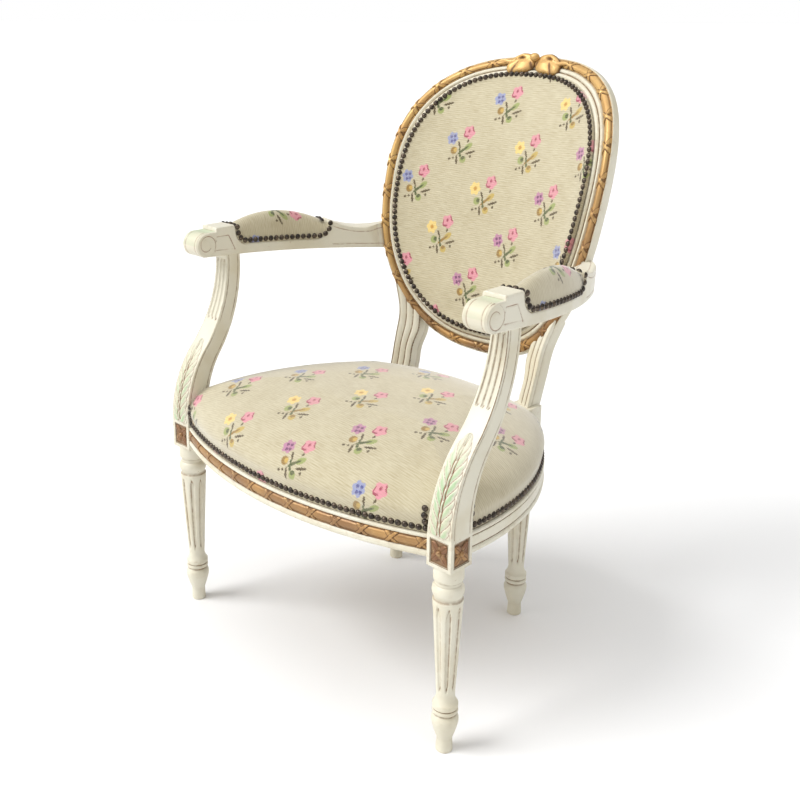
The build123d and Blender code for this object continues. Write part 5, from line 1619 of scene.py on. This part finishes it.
@dataclass
class Supports:
    """S-curved arm supports, fluted above and carved with a leaf below."""

    plan: SeatPlan
    line: ArmLine
    block_top: float = 0.351
    rail_top: float = 0.362
    top: Flat = (0.305, -0.1568)
    top_width: float = 0.030
    top_depth: float = 0.030
    front_turn: float = 0.190
    rear_turn: float = 0.165
    flute_low: float = 0.519
    flute_high: float = 0.622
    flute_deep: float = 0.0030
    leaf_low: float = 0.353
    leaf_high: float = 0.488
    leaf_high_point: float = 0.0042
    leaf_wide: float = 0.92
    leaf_lobes: float = 8.0
    leaf_slant: float = 1.55

    def curve(self, start: Flat, end: Flat, lower: float, z: float) -> float:
        """Y on a double curve that leaves start and reaches end upright."""
        (y0, z0), (y1, z1) = start, end
        if z <= z0:
            return y0
        turn = 2 * math.atan2(y1 - y0, z1 - z0)
        upper = (z1 - z0) / math.sin(turn) - lower
        if z <= z0 + lower * math.sin(turn):
            return y0 + lower - math.sqrt(lower**2 - (z - z0) ** 2)
        rest = min(max(z1 - z, 0.0), upper)
        return y1 - upper + math.sqrt(upper**2 - rest**2)

    def section(self, z: float) -> tuple[float, float, float, float]:
        """Middle X, half width, front Y and rear Y at a height."""
        head = self.line.underside(self.top[1])
        share = clamp((z - self.block_top) / (head - self.block_top))
        x = blend(self.plan.front_leg[0], self.top[0], share)
        half = blend(self.plan.block, self.top_width, share) / 2
        foot = self.plan.front_leg[1]
        depth = self.top_depth / 2
        start = (foot - self.plan.block / 2, self.block_top)
        front = self.curve(start, (self.top[1] - depth, head), self.front_turn, z)
        start = (foot + self.plan.block / 2, self.rail_top)
        rear = self.curve(start, (self.top[1] + depth, head), self.rear_turn, z)
        return x, half, front, rear

    def body(self, shell: Shell) -> None:
        """Add the support's body."""
        ring = faces_round(front=40, outer=22, rear=12, inner=22)
        head = self.line.underside(self.top[1]) + 0.004

        def place(u: float, part: tuple) -> Spot:
            face, share = part
            z = blend(self.block_top - 0.001, head, u)
            x, half, front_y, rear_y = self.section(z)
            wash = 0.0
            if face in ("front", "rear"):
                wide = 2 * share - 1 if face == "front" else 1 - 2 * share
                px, py = x + wide * half, front_y if face == "front" else rear_y
                room = min(z - self.flute_low, self.flute_high - z)
                if face == "front" and room > 0:
                    reach = clamp(room / 0.006) ** 0.5
                    gap = math.remainder(wide, 0.56)
                    inside = abs(wide) < 0.84
                    hollow = math.sqrt(max(0.0, 1 - (gap / (0.215 * reach)) ** 2)) * inside
                    py += self.flute_deep * hollow
                    wash = max(0.16 * hollow, 0.62 * ridge(gap + 0.17, 0.075) * inside)
                ease_off = 0.0012 * ease((abs(wide) - 0.94) / 0.06)
                py += ease_off if face == "front" else -ease_off
            else:
                deep = share if face == "outer" else 1 - share
                sign = 1 if face == "outer" else -1
                px, py = x + sign * half, blend(front_y, rear_y, deep)
                edge = 0.0058 / max(rear_y - front_y, 0.01)
                near = min(abs(deep - edge), abs(1 - deep - edge))
                line = ridge(near, 0.036)
                px -= sign * 0.0011 * line
                wash = 0.55 * line
                px -= sign * 0.0010 * ease((abs(2 * deep - 1) - 0.94) / 0.06)
            return Spot(Vector((px, py, z)), wash)

        shell.sweep(190, ring, place)
        shell.close()

    def leaf(self, shell: Shell, side: Side) -> None:
        """Add the carved leaf: lobed sides, a round tip, a midrib and veins."""
        span = self.leaf_high - self.leaf_low

        def lobe(share: float, wide: float) -> float:
            step = (self.leaf_lobes * share - self.leaf_slant * wide) % 1.0
            return math.sin(math.pi * step) ** 0.7

        def place(u: float, v: float) -> Spot:
            wide = 2 * v - 1
            far = abs(wide)
            z = self.leaf_low + span * u
            x, half, front, _ = self.section(z)
            tip = math.sqrt(max(0.0, 1 - max(0.0, (u - 0.66) / 0.34) ** 2))
            reach = half * self.leaf_wide * tip * (0.84 + 0.16 * lobe(u, 1.0))
            fold = lobe(u, far)
            rib, trough = ridge(wide, 0.10), ridge(far - 0.13, 0.10)
            body = (1 - far**4) * (0.6 + 0.4 * math.sin(math.pi * clamp(u * 0.9 + 0.1)))
            high = self.leaf_high_point * body * (0.55 + 0.45 * fold + 0.15 * rib - 0.35 * trough)
            edge = ease((far - 0.88) / 0.12)
            notch = (1 - fold) ** 3 * ease((far - 0.15) / 0.1)
            wash = max(0.85 * trough * ease((0.9 - u) / 0.2), 0.80 * edge, 0.80 * notch)
            pale = 1 - 0.75 * ease((u - 0.7) / 0.25)
            tint_and_shade = ease((0.95 - far) / 0.3) * fold**2 * (1 - 0.8 * rib) * pale
            spot = Vector((side.value * (x + wide * reach), front - high + 0.0008 * edge, z))
            return Spot(spot, wash, tint_and_shade)

        shell.patch(170, 52, place)

    def build(self, looks: Finishes) -> None:
        """Build both supports and their leaves."""
        leaves = Shell()
        for side in Side:
            shell = Shell()
            self.body(shell)
            shell.carry(side)
            name = f"arm_support_{side.tail}"
            shell.piece(f"{name}_carved", looks.cream, Slot.PAINT, [name])
            self.leaf(leaves, side)
        leaves.piece("support_leaves_carved", looks.leaf, Slot.PAINT, ["support_leaves"])


@dataclass
class Upholstery:
    """Stuffed seat, back and arm pads in needlepoint, with the linings under them."""

    plan: SeatPlan
    back: BentBack
    line: ArmLine
    skirt_bottom: float = 0.346
    seat_levels: tuple[Flat, ...] = (
        (0.346, 0.0035), (0.352, 0.0035), (0.358, 0.0033), (0.362, 0.0028), (0.368, 0.0012),
        (0.374, 0.0002), (0.381, 0.0010), (0.388, 0.0040), (0.395, 0.0100), (0.402, 0.0190),
        (0.4088, 0.0315), (0.415, 0.0460), (0.421, 0.0635), (0.426, 0.0820), (0.430, 0.1005),
        (0.433, 0.1190), (0.4354, 0.1370), (0.437, 0.1550),
    )
    seat_calm: int = 14
    seat_bend: float = 0.384
    seat_nailed: float = 0.372
    seat_fade: float = 0.014
    seat_inner: int = 12
    seat_around: int = 300
    seat_crown: float = 0.4382
    seat_heart: Flat = (0.0, -0.105)
    seat_drawn: float = 0.0056
    under: float = 0.3655
    lining_inset: float = 0.0066
    rim_inset: float = 0.035
    back_crown: float = 0.030
    back_rim: float = 0.010
    ledge: float = 0.002
    outside_inset: float = 0.030
    outside_reach: float = 0.2056
    outside_depth: float = 0.030
    outside_thick: float = 0.002
    back_sprig: Flat = (-0.0951, 0.0880)
    back_stretch: float = 0.962
    pattern: NeedlepointFinish = field(default_factory=NeedlepointFinish)
    seat_sprig: Flat = (-0.2092, -0.2136)
    seat_bare: int = 3
    seat_stretch: tuple[Flat, Flat] = ((0.929, 0.125), (0.045, 0.880))
    pad_power: float = 2.0
    pad_sprig: Flat = (0.1434, -0.1716)
    pressure: float = 4
    swell: float = 0.005
    frames: int = 20
    calm: int = 30
    heart_ring: Flat = (0.09, 0.12)
    heart_reach: float = 0.06
    heart_fade: float = 0.04
    back_nailed: float = 0.008
    back_fade: float = 0.03
    pad_nailed: float = 0.15
    pad_fade: float = 0.35
    web_width: float = 0.050
    web_gap: float = 0.100
    web_thick: float = 0.0012
    strap_thick: float = 0.0009
    hessian_thick: float = 0.0008
    leg_clear: float = 0.024
    rail_top: float = 0.362

    def __post_init__(self) -> None:
        """Work out the hollow of the back's face."""
        turns = [math.pi * i / 12 for i in range(12)]
        edge = max(self.back.oval(t, self.rim_inset)[0] for t in turns)
        reach = self.back.radius - self.ledge - self.back_rim
        hollow = self.back.radius - math.sqrt(reach**2 - edge**2) - self.ledge - self.back_crown
        self.hollow = (edge**2 + hollow**2) / (2 * hollow)
        rise, edge_up = self.back_crown - self.back_rim, self.back.half_height - self.rim_inset
        self.full = (edge_up**2 + rise**2) / (2 * rise)
        self.axis = self.ledge + self.back_crown + self.hollow

    def face_ahead(self, across: float, up: float) -> float:
        """How far the back's face lies ahead of the back plane."""
        reach = self.hollow + self.full - math.sqrt(self.full**2 - up**2)
        return self.axis - math.sqrt(max(0.0, reach**2 - across**2))

    def seat_cloth(self, x: float, y: float) -> Flat:
        """Place on the flat cloth of a point of the seat's plan, a little stretched by the crown."""
        dx, dy = x - self.seat_sprig[0], y - self.seat_sprig[1]
        (xx, xy), (yx, yy) = self.seat_stretch
        return xx * dx + xy * dy, yx * dx + yy * dy

    @staticmethod
    def thicken(made: bpy.types.Object, thickness: float, offset: float = -1) -> None:
        """Give a sheet its thickness, inwards unless another offset is asked for."""
        thick = made.modifiers.new("cloth thickness", "SOLIDIFY")
        thick.thickness, thick.offset = thickness, offset

    def puff(
        self,
        made: bpy.types.Object,
        held: Callable[[Vector, Vector], float],
        heart: Vector | None = None,
        slack: float = 0.003,
    ) -> None:
        """Blow a padded piece up with Blender's cloth and keep the shape it takes.

        Args:
            made: The piece.
            held: Gives how firmly a point is held, from 0 to 1, from its place and normal.
            heart: Middle of the crown, where fine faces pucker and follow the ring round them.
            slack: How far the free surface is drawn in before it is blown up.
        """
        scene, verts = bpy.context.scene, made.data.vertices
        free = np.array([1 - held(vert.co, vert.normal) for vert in verts])
        normals = np.array([vert.normal for vert in verts])
        drawn = np.array([vert.co for vert in verts]) - normals * slack * free[:, None]
        verts.foreach_set("co", drawn.ravel())
        blown = bpy.data.objects.new("blown", made.data.copy())
        scene.collection.objects.link(blown)
        group = blown.vertex_groups.new(name="held")
        for index, share in enumerate(free):
            group.add([index], 1 - share, "REPLACE")
        cloth = blown.modifiers.new("pressure", "CLOTH")
        cloth.settings.use_pressure = True
        cloth.settings.uniform_pressure_force = self.pressure
        cloth.settings.vertex_group_mass = group.name
        cloth.settings.effector_weights.gravity = 0
        cloth.point_cache.frame_start, cloth.point_cache.frame_end = 1, self.frames
        for frame_number in range(1, self.frames + 1):
            scene.frame_set(frame_number)
        taken = blown.evaluated_get(bpy.context.evaluated_depsgraph_get()).data.vertices
        gain = ((np.array([vert.co for vert in taken]) - drawn) * normals).sum(axis=1)
        gain = np.clip(gain, 0, self.swell)
        if heart:
            away = np.linalg.norm(drawn - np.array(heart), axis=1)
            near, far = self.heart_ring
            ring = gain[(away > near) & (away < far) & (free > 0.5)].mean()
            share = np.clip((away - self.heart_reach) / self.heart_fade, 0, 1)
            gain = ring + (gain - ring) * share
        first, second = np.array([edge.vertices[:] for edge in made.data.edges]).T
        count = len(gain)
        joined = np.bincount(np.concatenate([first, second]), minlength=count)
        for _ in range(self.calm):
            beside = np.bincount(first, gain[second], count) + np.bincount(second, gain[first], count)
            gain = 0.5 * gain + 0.5 * beside / joined
        verts.foreach_set("co", (drawn + normals * (gain * free)[:, None]).ravel())
        made.data.update()
        mesh = blown.data
        bpy.data.objects.remove(blown)
        bpy.data.meshes.remove(mesh)
        scene.frame_set(1)
        LOG.info("%s: swelled by up to %.1f mm", made.name, 1000 * gain.max())

    def seat(self, looks: Finishes) -> None:
        """Build the crowned seat, its skirt and its underside."""
        shell = Shell()
        levels, inner = self.seat_levels, self.seat_inner
        walked = [0.0]
        for (z0, i0), (z1, i1) in zip(levels, levels[1:]):
            walked.append(walked[-1] + math.hypot(z1 - z0, i1 - i0))
        drawn, edge = self.seat_drawn, levels[-1][1]
        spread = [(self.under, drawn, share, edge) for share in (1.0, 0.6, 0.25, 0.0)]
        spread.append((self.skirt_bottom, drawn, 0.0, edge - walked[-1]))
        spread += [(z, i, 0.0, edge - walked[-1] + way) for (z, i), way in zip(levels, walked)]
        for row in range(1, inner + 1):
            share = row / inner
            z = blend(levels[-1][0], self.seat_crown, 1 - (1 - share) ** 2)
            spread.append((z, edge, share, edge))
        rows = len(spread)
        hx, hy = self.seat_heart

        def spot(turn: float, row: int, flat: bool) -> Vector:
            z, inset, share, cut = spread[row]
            x, y = self.plan.outline(turn, cut if flat else inset)
            return Vector((blend(x, hx, share), blend(y, hy, share), z))

        def cloth(u: float, v: float) -> Flat:
            point = spot(u, round(v * (rows - 1)), True)
            return self.seat_cloth(point.x, point.y)

        def place(u: float, v: float) -> Spot:
            along, down = self.pattern.sprig_at(cloth(u, v))
            bare = along >= self.seat_bare and down >= self.seat_bare
            return Spot(spot(u, round(v * (rows - 1)), False), tint_and_shade=float(bare))

        shell.patch(self.seat_around, rows - 1, place, cloth)
        shell.merge()
        upright = {"use_axis_x": False, "use_axis_y": False, "use_axis_z": True}
        for _ in range(self.seat_calm):
            crown = [vert for vert in shell.bm.verts if vert.co.z > self.seat_bend]
            bmesh.ops.smooth_vert(shell.bm, verts=crown, factor=0.5, **upright)
        made = shell.piece("seat_needlepoint", looks.cloth, Slot.CLOTH, ["seat_cover", "seat_stuffing"])
        self.puff(made, self.seat_held, Vector((hx, hy, self.seat_crown)))

    def seat_held(self, point: Vector, _: Vector) -> float:
        """How firmly the nails and the rails hold a point of the seat, from 0 to 1."""
        return 1 - ease((point.z - self.seat_nailed) / self.seat_fade)

    def pad_held(self, _: Vector, normal: Vector) -> float:
        """How firmly the nails and the arm hold a point of an arm pad, from 0 to 1."""
        return 1 - ease((normal.z - self.pad_nailed) / self.pad_fade)

    def back_held(self, point: Vector, normal: Vector) -> float:
        """How firmly the frame and the nails hold a point of the back pad, from 0 to 1."""
        local = point - self.back.origin
        up = local.dot(self.back.up)
        edge = self.back.across_at(up, self.rim_inset) - abs(local.x)
        top = self.back.half_height - self.rim_inset - abs(up)
        free = min(ease((gap - self.back_nailed) / self.back_fade) for gap in (edge, top))
        return 1 - free * ease((normal.dot(self.back.ahead) - 0.3) / 0.3)

    def inside_back(self, looks: Finishes) -> None:
        """Build the hollow, full back pad inside the nails."""
        shell = Shell()
        rim = [(0.0350, None, 0.0005), (0.0350, None, 0.0040), (0.0354, None, 0.0072)]
        rim += [(0.0364, 0.0010, None), (0.0381, 0.0, None)]
        insets = [0.040, 0.043, 0.047, 0.052, 0.058, 0.065, 0.073, 0.082, 0.092, 0.103, 0.115]
        insets += [0.128, 0.142, 0.157, 0.172, 0.187, 0.202, 0.217, 0.230, 0.2356]
        behind = [0.2356, 0.190, 0.130, 0.080, 0.050]
        spread = [(i, None, 0.0005) for i in behind] + rim + [(i, 0.0, None) for i in insets]
        rows = len(spread)

        def ring(row: int, turn: float) -> tuple[float, float, float]:
            inset, below, above = spread[row]
            across, up = self.back.oval(turn, inset)
            ledge = self.back.radius - math.sqrt((self.back.radius - self.ledge) ** 2 - across**2)
            face = self.face_ahead(across, up)
            return across, up, face - below if above is None else min(face, ledge + above)

        def place(u: float, v: float) -> Spot:
            across, up, ahead = ring(round(v * (rows - 1)), u * math.tau)
            return Spot(self.back.at(across, up, ahead))

        def cloth(u: float, v: float) -> Flat:
            across, up, _ = ring(round(v * (rows - 1)), u * math.tau)
            along = self.back.radius * math.asin(across / self.back.radius)
            return along - self.back_sprig[0], self.back_stretch * (up - self.back_sprig[1])

        shell.patch(260, rows - 1, place, cloth)
        nodes = ["back_cover", "back_stuffing", "back_webbing", "back_hessian"]
        made = shell.piece("back_needlepoint", looks.cloth, Slot.CLOTH, nodes)
        self.puff(made, self.back_held, self.back.at(0, 0, self.face_ahead(0, 0)))

    def outside_back(self, looks: Finishes) -> None:
        """Build the cloth stretched over the outside of the back."""
        shell = Shell()
        depth, rows = self.outside_depth + self.outside_thick, 22

        def oval(u: float, v: float) -> Flat:
            inset = self.outside_inset + self.outside_reach * (round(v * rows) / rows)
            return self.back.oval(u * math.tau, inset)

        def place(u: float, v: float) -> Spot:
            return Spot(self.back.bent(*oval(u, v), depth))

        def cloth(u: float, v: float) -> Flat:
            across, up = oval(u, v)
            reach = self.back.radius + depth
            return -reach * math.asin(across / reach), up

        shell.patch(200, rows, place, cloth)
        shell.merge()
        bmesh.ops.recalc_face_normals(shell.bm, faces=shell.bm.faces)
        area = shell.area()
        nodes = ["outside_back_cover"]
        made = shell.piece("outside_back_needlepoint", looks.cloth, Slot.CLOTH, nodes, shut=False)
        self.thicken(made, self.outside_thick)

    def arm_pads(self, looks: Finishes) -> None:
        """Build both arm pads."""
        line = self.line
        around = 48
        half = line.width / 2

        def section(y: float, turn: float) -> Flat:
            floor = line.dish(y) + 0.0002
            if turn > 1:
                return -half * math.cos(math.pi * (turn - 1)), floor
            offset = half * math.cos(math.pi * turn)
            full = max(line.pad_top(y, 0.0), floor + 0.0002) - floor
            round_off = max(0.0, 1 - abs(offset / half) ** self.pad_power) ** (1 / self.pad_power)
            return offset, floor + full * round_off

        def place(u: float, v: float) -> Spot:
            y = blend(line.pad_front_y + 0.0003, line.pad_rear_y - 0.0003, u)
            offset, z = section(y, 2 * v)
            return Spot(line.spot(y, offset, z))

        def cloth(u: float, v: float, side: Side) -> Flat:
            y = blend(line.pad_front_y, line.pad_rear_y, u)
            steps = [section(y, 0.5 + (min(2 * v, 1.0) - 0.5) * i / 12) for i in range(13)]
            way = sum(math.dist(a, b) for a, b in zip(steps, steps[1:]))
            middle = (line.pad_front_y + line.pad_rear_y) / 2
            across = side.value * math.copysign(way, 0.25 - v)
            return self.pad_sprig[0] + across, self.pad_sprig[1] + y - middle

        for side in Side:
            shell = Shell()
            shell.patch(72, around, place, partial(cloth, side=side))
            shell.carry(side)
            nodes = [f"arm_pad_cover_{side.tail}", f"arm_pad_stuffing_{side.tail}"]
            made = shell.piece(f"arm_pad_{side.tail}", looks.cloth, Slot.CLOTH, nodes, crease=70)
            self.puff(made, self.pad_held, slack=0.0)

    def linings(self, looks: Finishes) -> None:
        """Build the hessian and the webbing that show from below."""
        shell = Shell()
        z = self.rail_top + 2 * self.web_thick
        hx, hy = self.seat_heart

        def place(u: float, v: float) -> Spot:
            x, y = self.plan.outline(u, self.lining_inset)
            return Spot(Vector((blend(x, hx, v), blend(y, hy, v), z)))

        def cloth(u: float, v: float) -> Flat:
            point = place(u, v).place
            return point.x, point.y

        shell.patch(120, 10, place, cloth)
        shell.merge()
        area = shell.area()
        made = shell.piece("seat_hessian_cloth", looks.jute, Slot.STUFF, ["seat_hessian"], shut=False)
        self.thicken(made, self.hessian_thick)
        self.straps(looks)

    def straps(self, looks: Finishes) -> None:
        """Build the two layers of webbing straps, woven over and under each other."""
        middle = (self.plan.front_leg[1] + self.plan.rear_leg[1]) / 2
        steps = (-1.5, -0.5, 0.5, 1.5)
        half, rail, clear = self.web_width / 2, self.lining_inset, self.leg_clear
        for name, lengthwise in (("seat_webbing_lengthwise", True), ("seat_webbing_crosswise", False)):
            shell = Shell()
            for number, step in enumerate(steps):
                place_at = step * self.web_gap

                def place(u: float, v: float, number=number, place_at=place_at) -> Spot:
                    side = (2 * v - 1) * half
                    if lengthwise:
                        x = place_at + side
                        first = self.plan.front[1] - math.sqrt((self.plan.front[2] - rail) ** 2 - x * x)
                        last = self.plan.rear[1] + math.sqrt((self.plan.rear[2] - rail) ** 2 - x * x)
                        if abs(x) > self.plan.rear_end[0] - 0.002:
                            cx, cy, r = self.plan.side
                            last = cy + math.sqrt(max(0.0, (r - rail) ** 2 - (abs(x) - cx) ** 2))
                            if abs(x) < self.plan.rear_leg[0] + clear:
                                last = min(last, self.plan.rear_leg[1] - clear)
                        y = blend(first, last, u)
                        wave = math.cos(math.pi * ((y - middle) / self.web_gap + number + 1))
                    else:
                        y = middle + place_at + side
                        cx, cy, r = self.plan.side
                        reach = cx + math.sqrt(max(0.0, (r - rail) ** 2 - (y - cy) ** 2))
                        if y < self.plan.front_leg[1] + clear:
                            reach = min(reach, self.plan.front_leg[0] - clear)
                        if y > self.plan.rear_leg[1] - clear:
                            reach = min(reach, self.plan.rear_leg[0] - clear)
                        x = blend(-reach, reach, u)
                        wave = -math.cos(math.pi * (x / self.web_gap + number + 1))
                    level = self.rail_top + self.web_thick * (1.0 + 0.45 * clamp(2 * wave, -1, 1))
                    return Spot(Vector((x, y, level)))

                def cloth(u: float, v: float, place=place) -> Flat:
                    point = place(u, v).place
                    return point.x, point.y

                shell.patch(70, 8, place, cloth)
            area = shell.area()
            made = shell.piece(f"{name}_straps", looks.jute, Slot.STUFF, [name], shut=False)
            self.thicken(made, self.strap_thick, 0)

    def build(self, looks: Finishes) -> None:
        """Build all upholstery."""
        self.seat(looks)
        self.inside_back(looks)
        self.outside_back(looks)
        self.arm_pads(looks)
        self.linings(looks)


@dataclass
class KeptParts:
    """CAD pieces that show as they are: nails, dowels and corner blocks."""

    nails: str = "nails"
    raw: tuple[str, ...] = ("dowels", "corner_block")

    def dress(self, nodes: dict, looks: Finishes) -> None:
        """Give each of them a finish.

        Args:
            nodes: CAD objects by node name.
            looks: The finishes.
        """
        for name, node in nodes.items():
            if self.nails in name:
                finish, slot = looks.nail, Slot.NAIL
            elif any(word in name for word in self.raw):
                finish, slot = looks.beech, Slot.BEECH
            else:
                continue
            node.data.materials.clear()
            node.data.materials.append(finish)
            LOG.info("%s keeps its CAD form", name)


@dataclass
class Studio:
    """Pale floor, soft lights and the photograph's viewpoint."""

    eye: Vector = field(default_factory=lambda: Vector((1.1546, -1.2835, 1.0475)))
    yaw: float = math.radians(44.547)
    pitch: float = math.radians(-16.109)
    roll: float = math.radians(0.239)
    lens: float = 48.297
    sensor: float = 36.0
    shift: Flat = (0.0364, -0.1079)
    floor_reach: float = 60.0
    floor_grey: float = 0.93
    horizon: float = 1.0
    sky: float = 0.30

    def camera(self) -> None:
        """Set the camera where the photograph was taken from."""
        data = bpy.data.cameras.new("photograph")
        data.lens, data.sensor_width = self.lens, self.sensor
        data.shift_x, data.shift_y = self.shift
        data.clip_start, data.clip_end = 0.05, 60
        made = bpy.data.objects.new("photograph", data)
        cos_pitch = math.cos(self.pitch)
        sin_yaw, cos_yaw = math.sin(self.yaw), math.cos(self.yaw)
        look = Vector((-sin_yaw * cos_pitch, cos_yaw * cos_pitch, math.sin(self.pitch)))
        right = Vector((cos_yaw, sin_yaw, 0))
        up = right.cross(look)
        turned = right * math.cos(self.roll) + up * math.sin(self.roll)
        upright = turned.cross(look)
        basis = Matrix((turned, upright, -look)).transposed()
        made.matrix_world = Matrix.Translation(self.eye) @ basis.to_4x4()
        bpy.context.scene.collection.objects.link(made)
        bpy.context.scene.camera = made

    def floor(self) -> None:
        """Lay a wide pale floor."""
        mesh = bpy.data.meshes.new("studio floor")
        bm = bmesh.new()
        bmesh.ops.create_grid(bm, x_segments=1, y_segments=1, size=self.floor_reach)
        bm.to_mesh(mesh)
        bm.free()
        made = bpy.data.objects.new("studio_floor", mesh)
        paint, graph, shader = new_material("studio floor")
        graph.feed(shader, {"Base Color": (self.floor_grey,) * 3, "Roughness": 0.9})
        graph.feed(shader, {"Specular IOR Level": 0.1})
        mesh.materials.append(paint)
        bpy.context.scene.collection.objects.link(made)

    def sun(self, name: str, way: Vector, strength: float, spread: float) -> None:
        """Add a soft sun that shines along a direction.

        Args:
            name: The lamp's name.
            way: Direction in which the light travels.
            strength: Its strength.
            spread: How wide it is in the sky, in degrees.
        """
        data = bpy.data.lights.new(name, "SUN")
        data.energy, data.angle = strength, math.radians(spread)
        made = bpy.data.objects.new(name, data)
        made.rotation_mode = "QUATERNION"
        made.rotation_quaternion = way.to_track_quat("-Z", "Y")
        bpy.context.scene.collection.objects.link(made)

    def heaven(self) -> None:
        """Make a sky that is white near the horizon and dimmer above it."""
        world = bpy.data.worlds.new("studio sky")
        world.use_nodes = True
        graph = Graph(world.node_tree)
        way = graph.add("ShaderNodeTexCoord").outputs["Generated"]
        high = graph.add("ShaderNodeSeparateXYZ", {0: way}).outputs[2]
        light = graph.span(high, 0.05, 0.25, self.horizon, self.sky)
        shader = world.node_tree.nodes["Background"].inputs
        graph.feed(shader, {"Color": (1, 1, 1), "Strength": light})
        bpy.context.scene.world = world

    def build(self) -> None:
        """Set up camera, floor, sky and lamps."""
        self.camera()
        self.floor()
        self.heaven()
        self.sun("key", Vector((0.42, 0.62, -0.66)), 2.5, 34)
        self.sun("top", Vector((-0.10, 0.05, -1.0)), 1.5, 70)
        bpy.context.scene.view_settings.view_transform = "Standard"


def main() -> None:
    """Build the chair's looks round the frame."""
    logging.basicConfig(level=logging.INFO, format="%(name)s %(message)s")
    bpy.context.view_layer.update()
    looks = Finishes()
    plan, back, line = SeatPlan(), BentBack(), ArmLine()
    for part in (
        FrontLegs(plan),
        RearLegs(plan, back=back),
        SeatRails(plan),
        OvalFrame(back),
        Arms(line, back),
        Supports(plan, line),
        Upholstery(plan, back, line),
    ):
        part.build(looks)
    KeptParts().dress(frame["nodes"], looks)
    Studio().build()


if __name__ == "__main__":
    main()
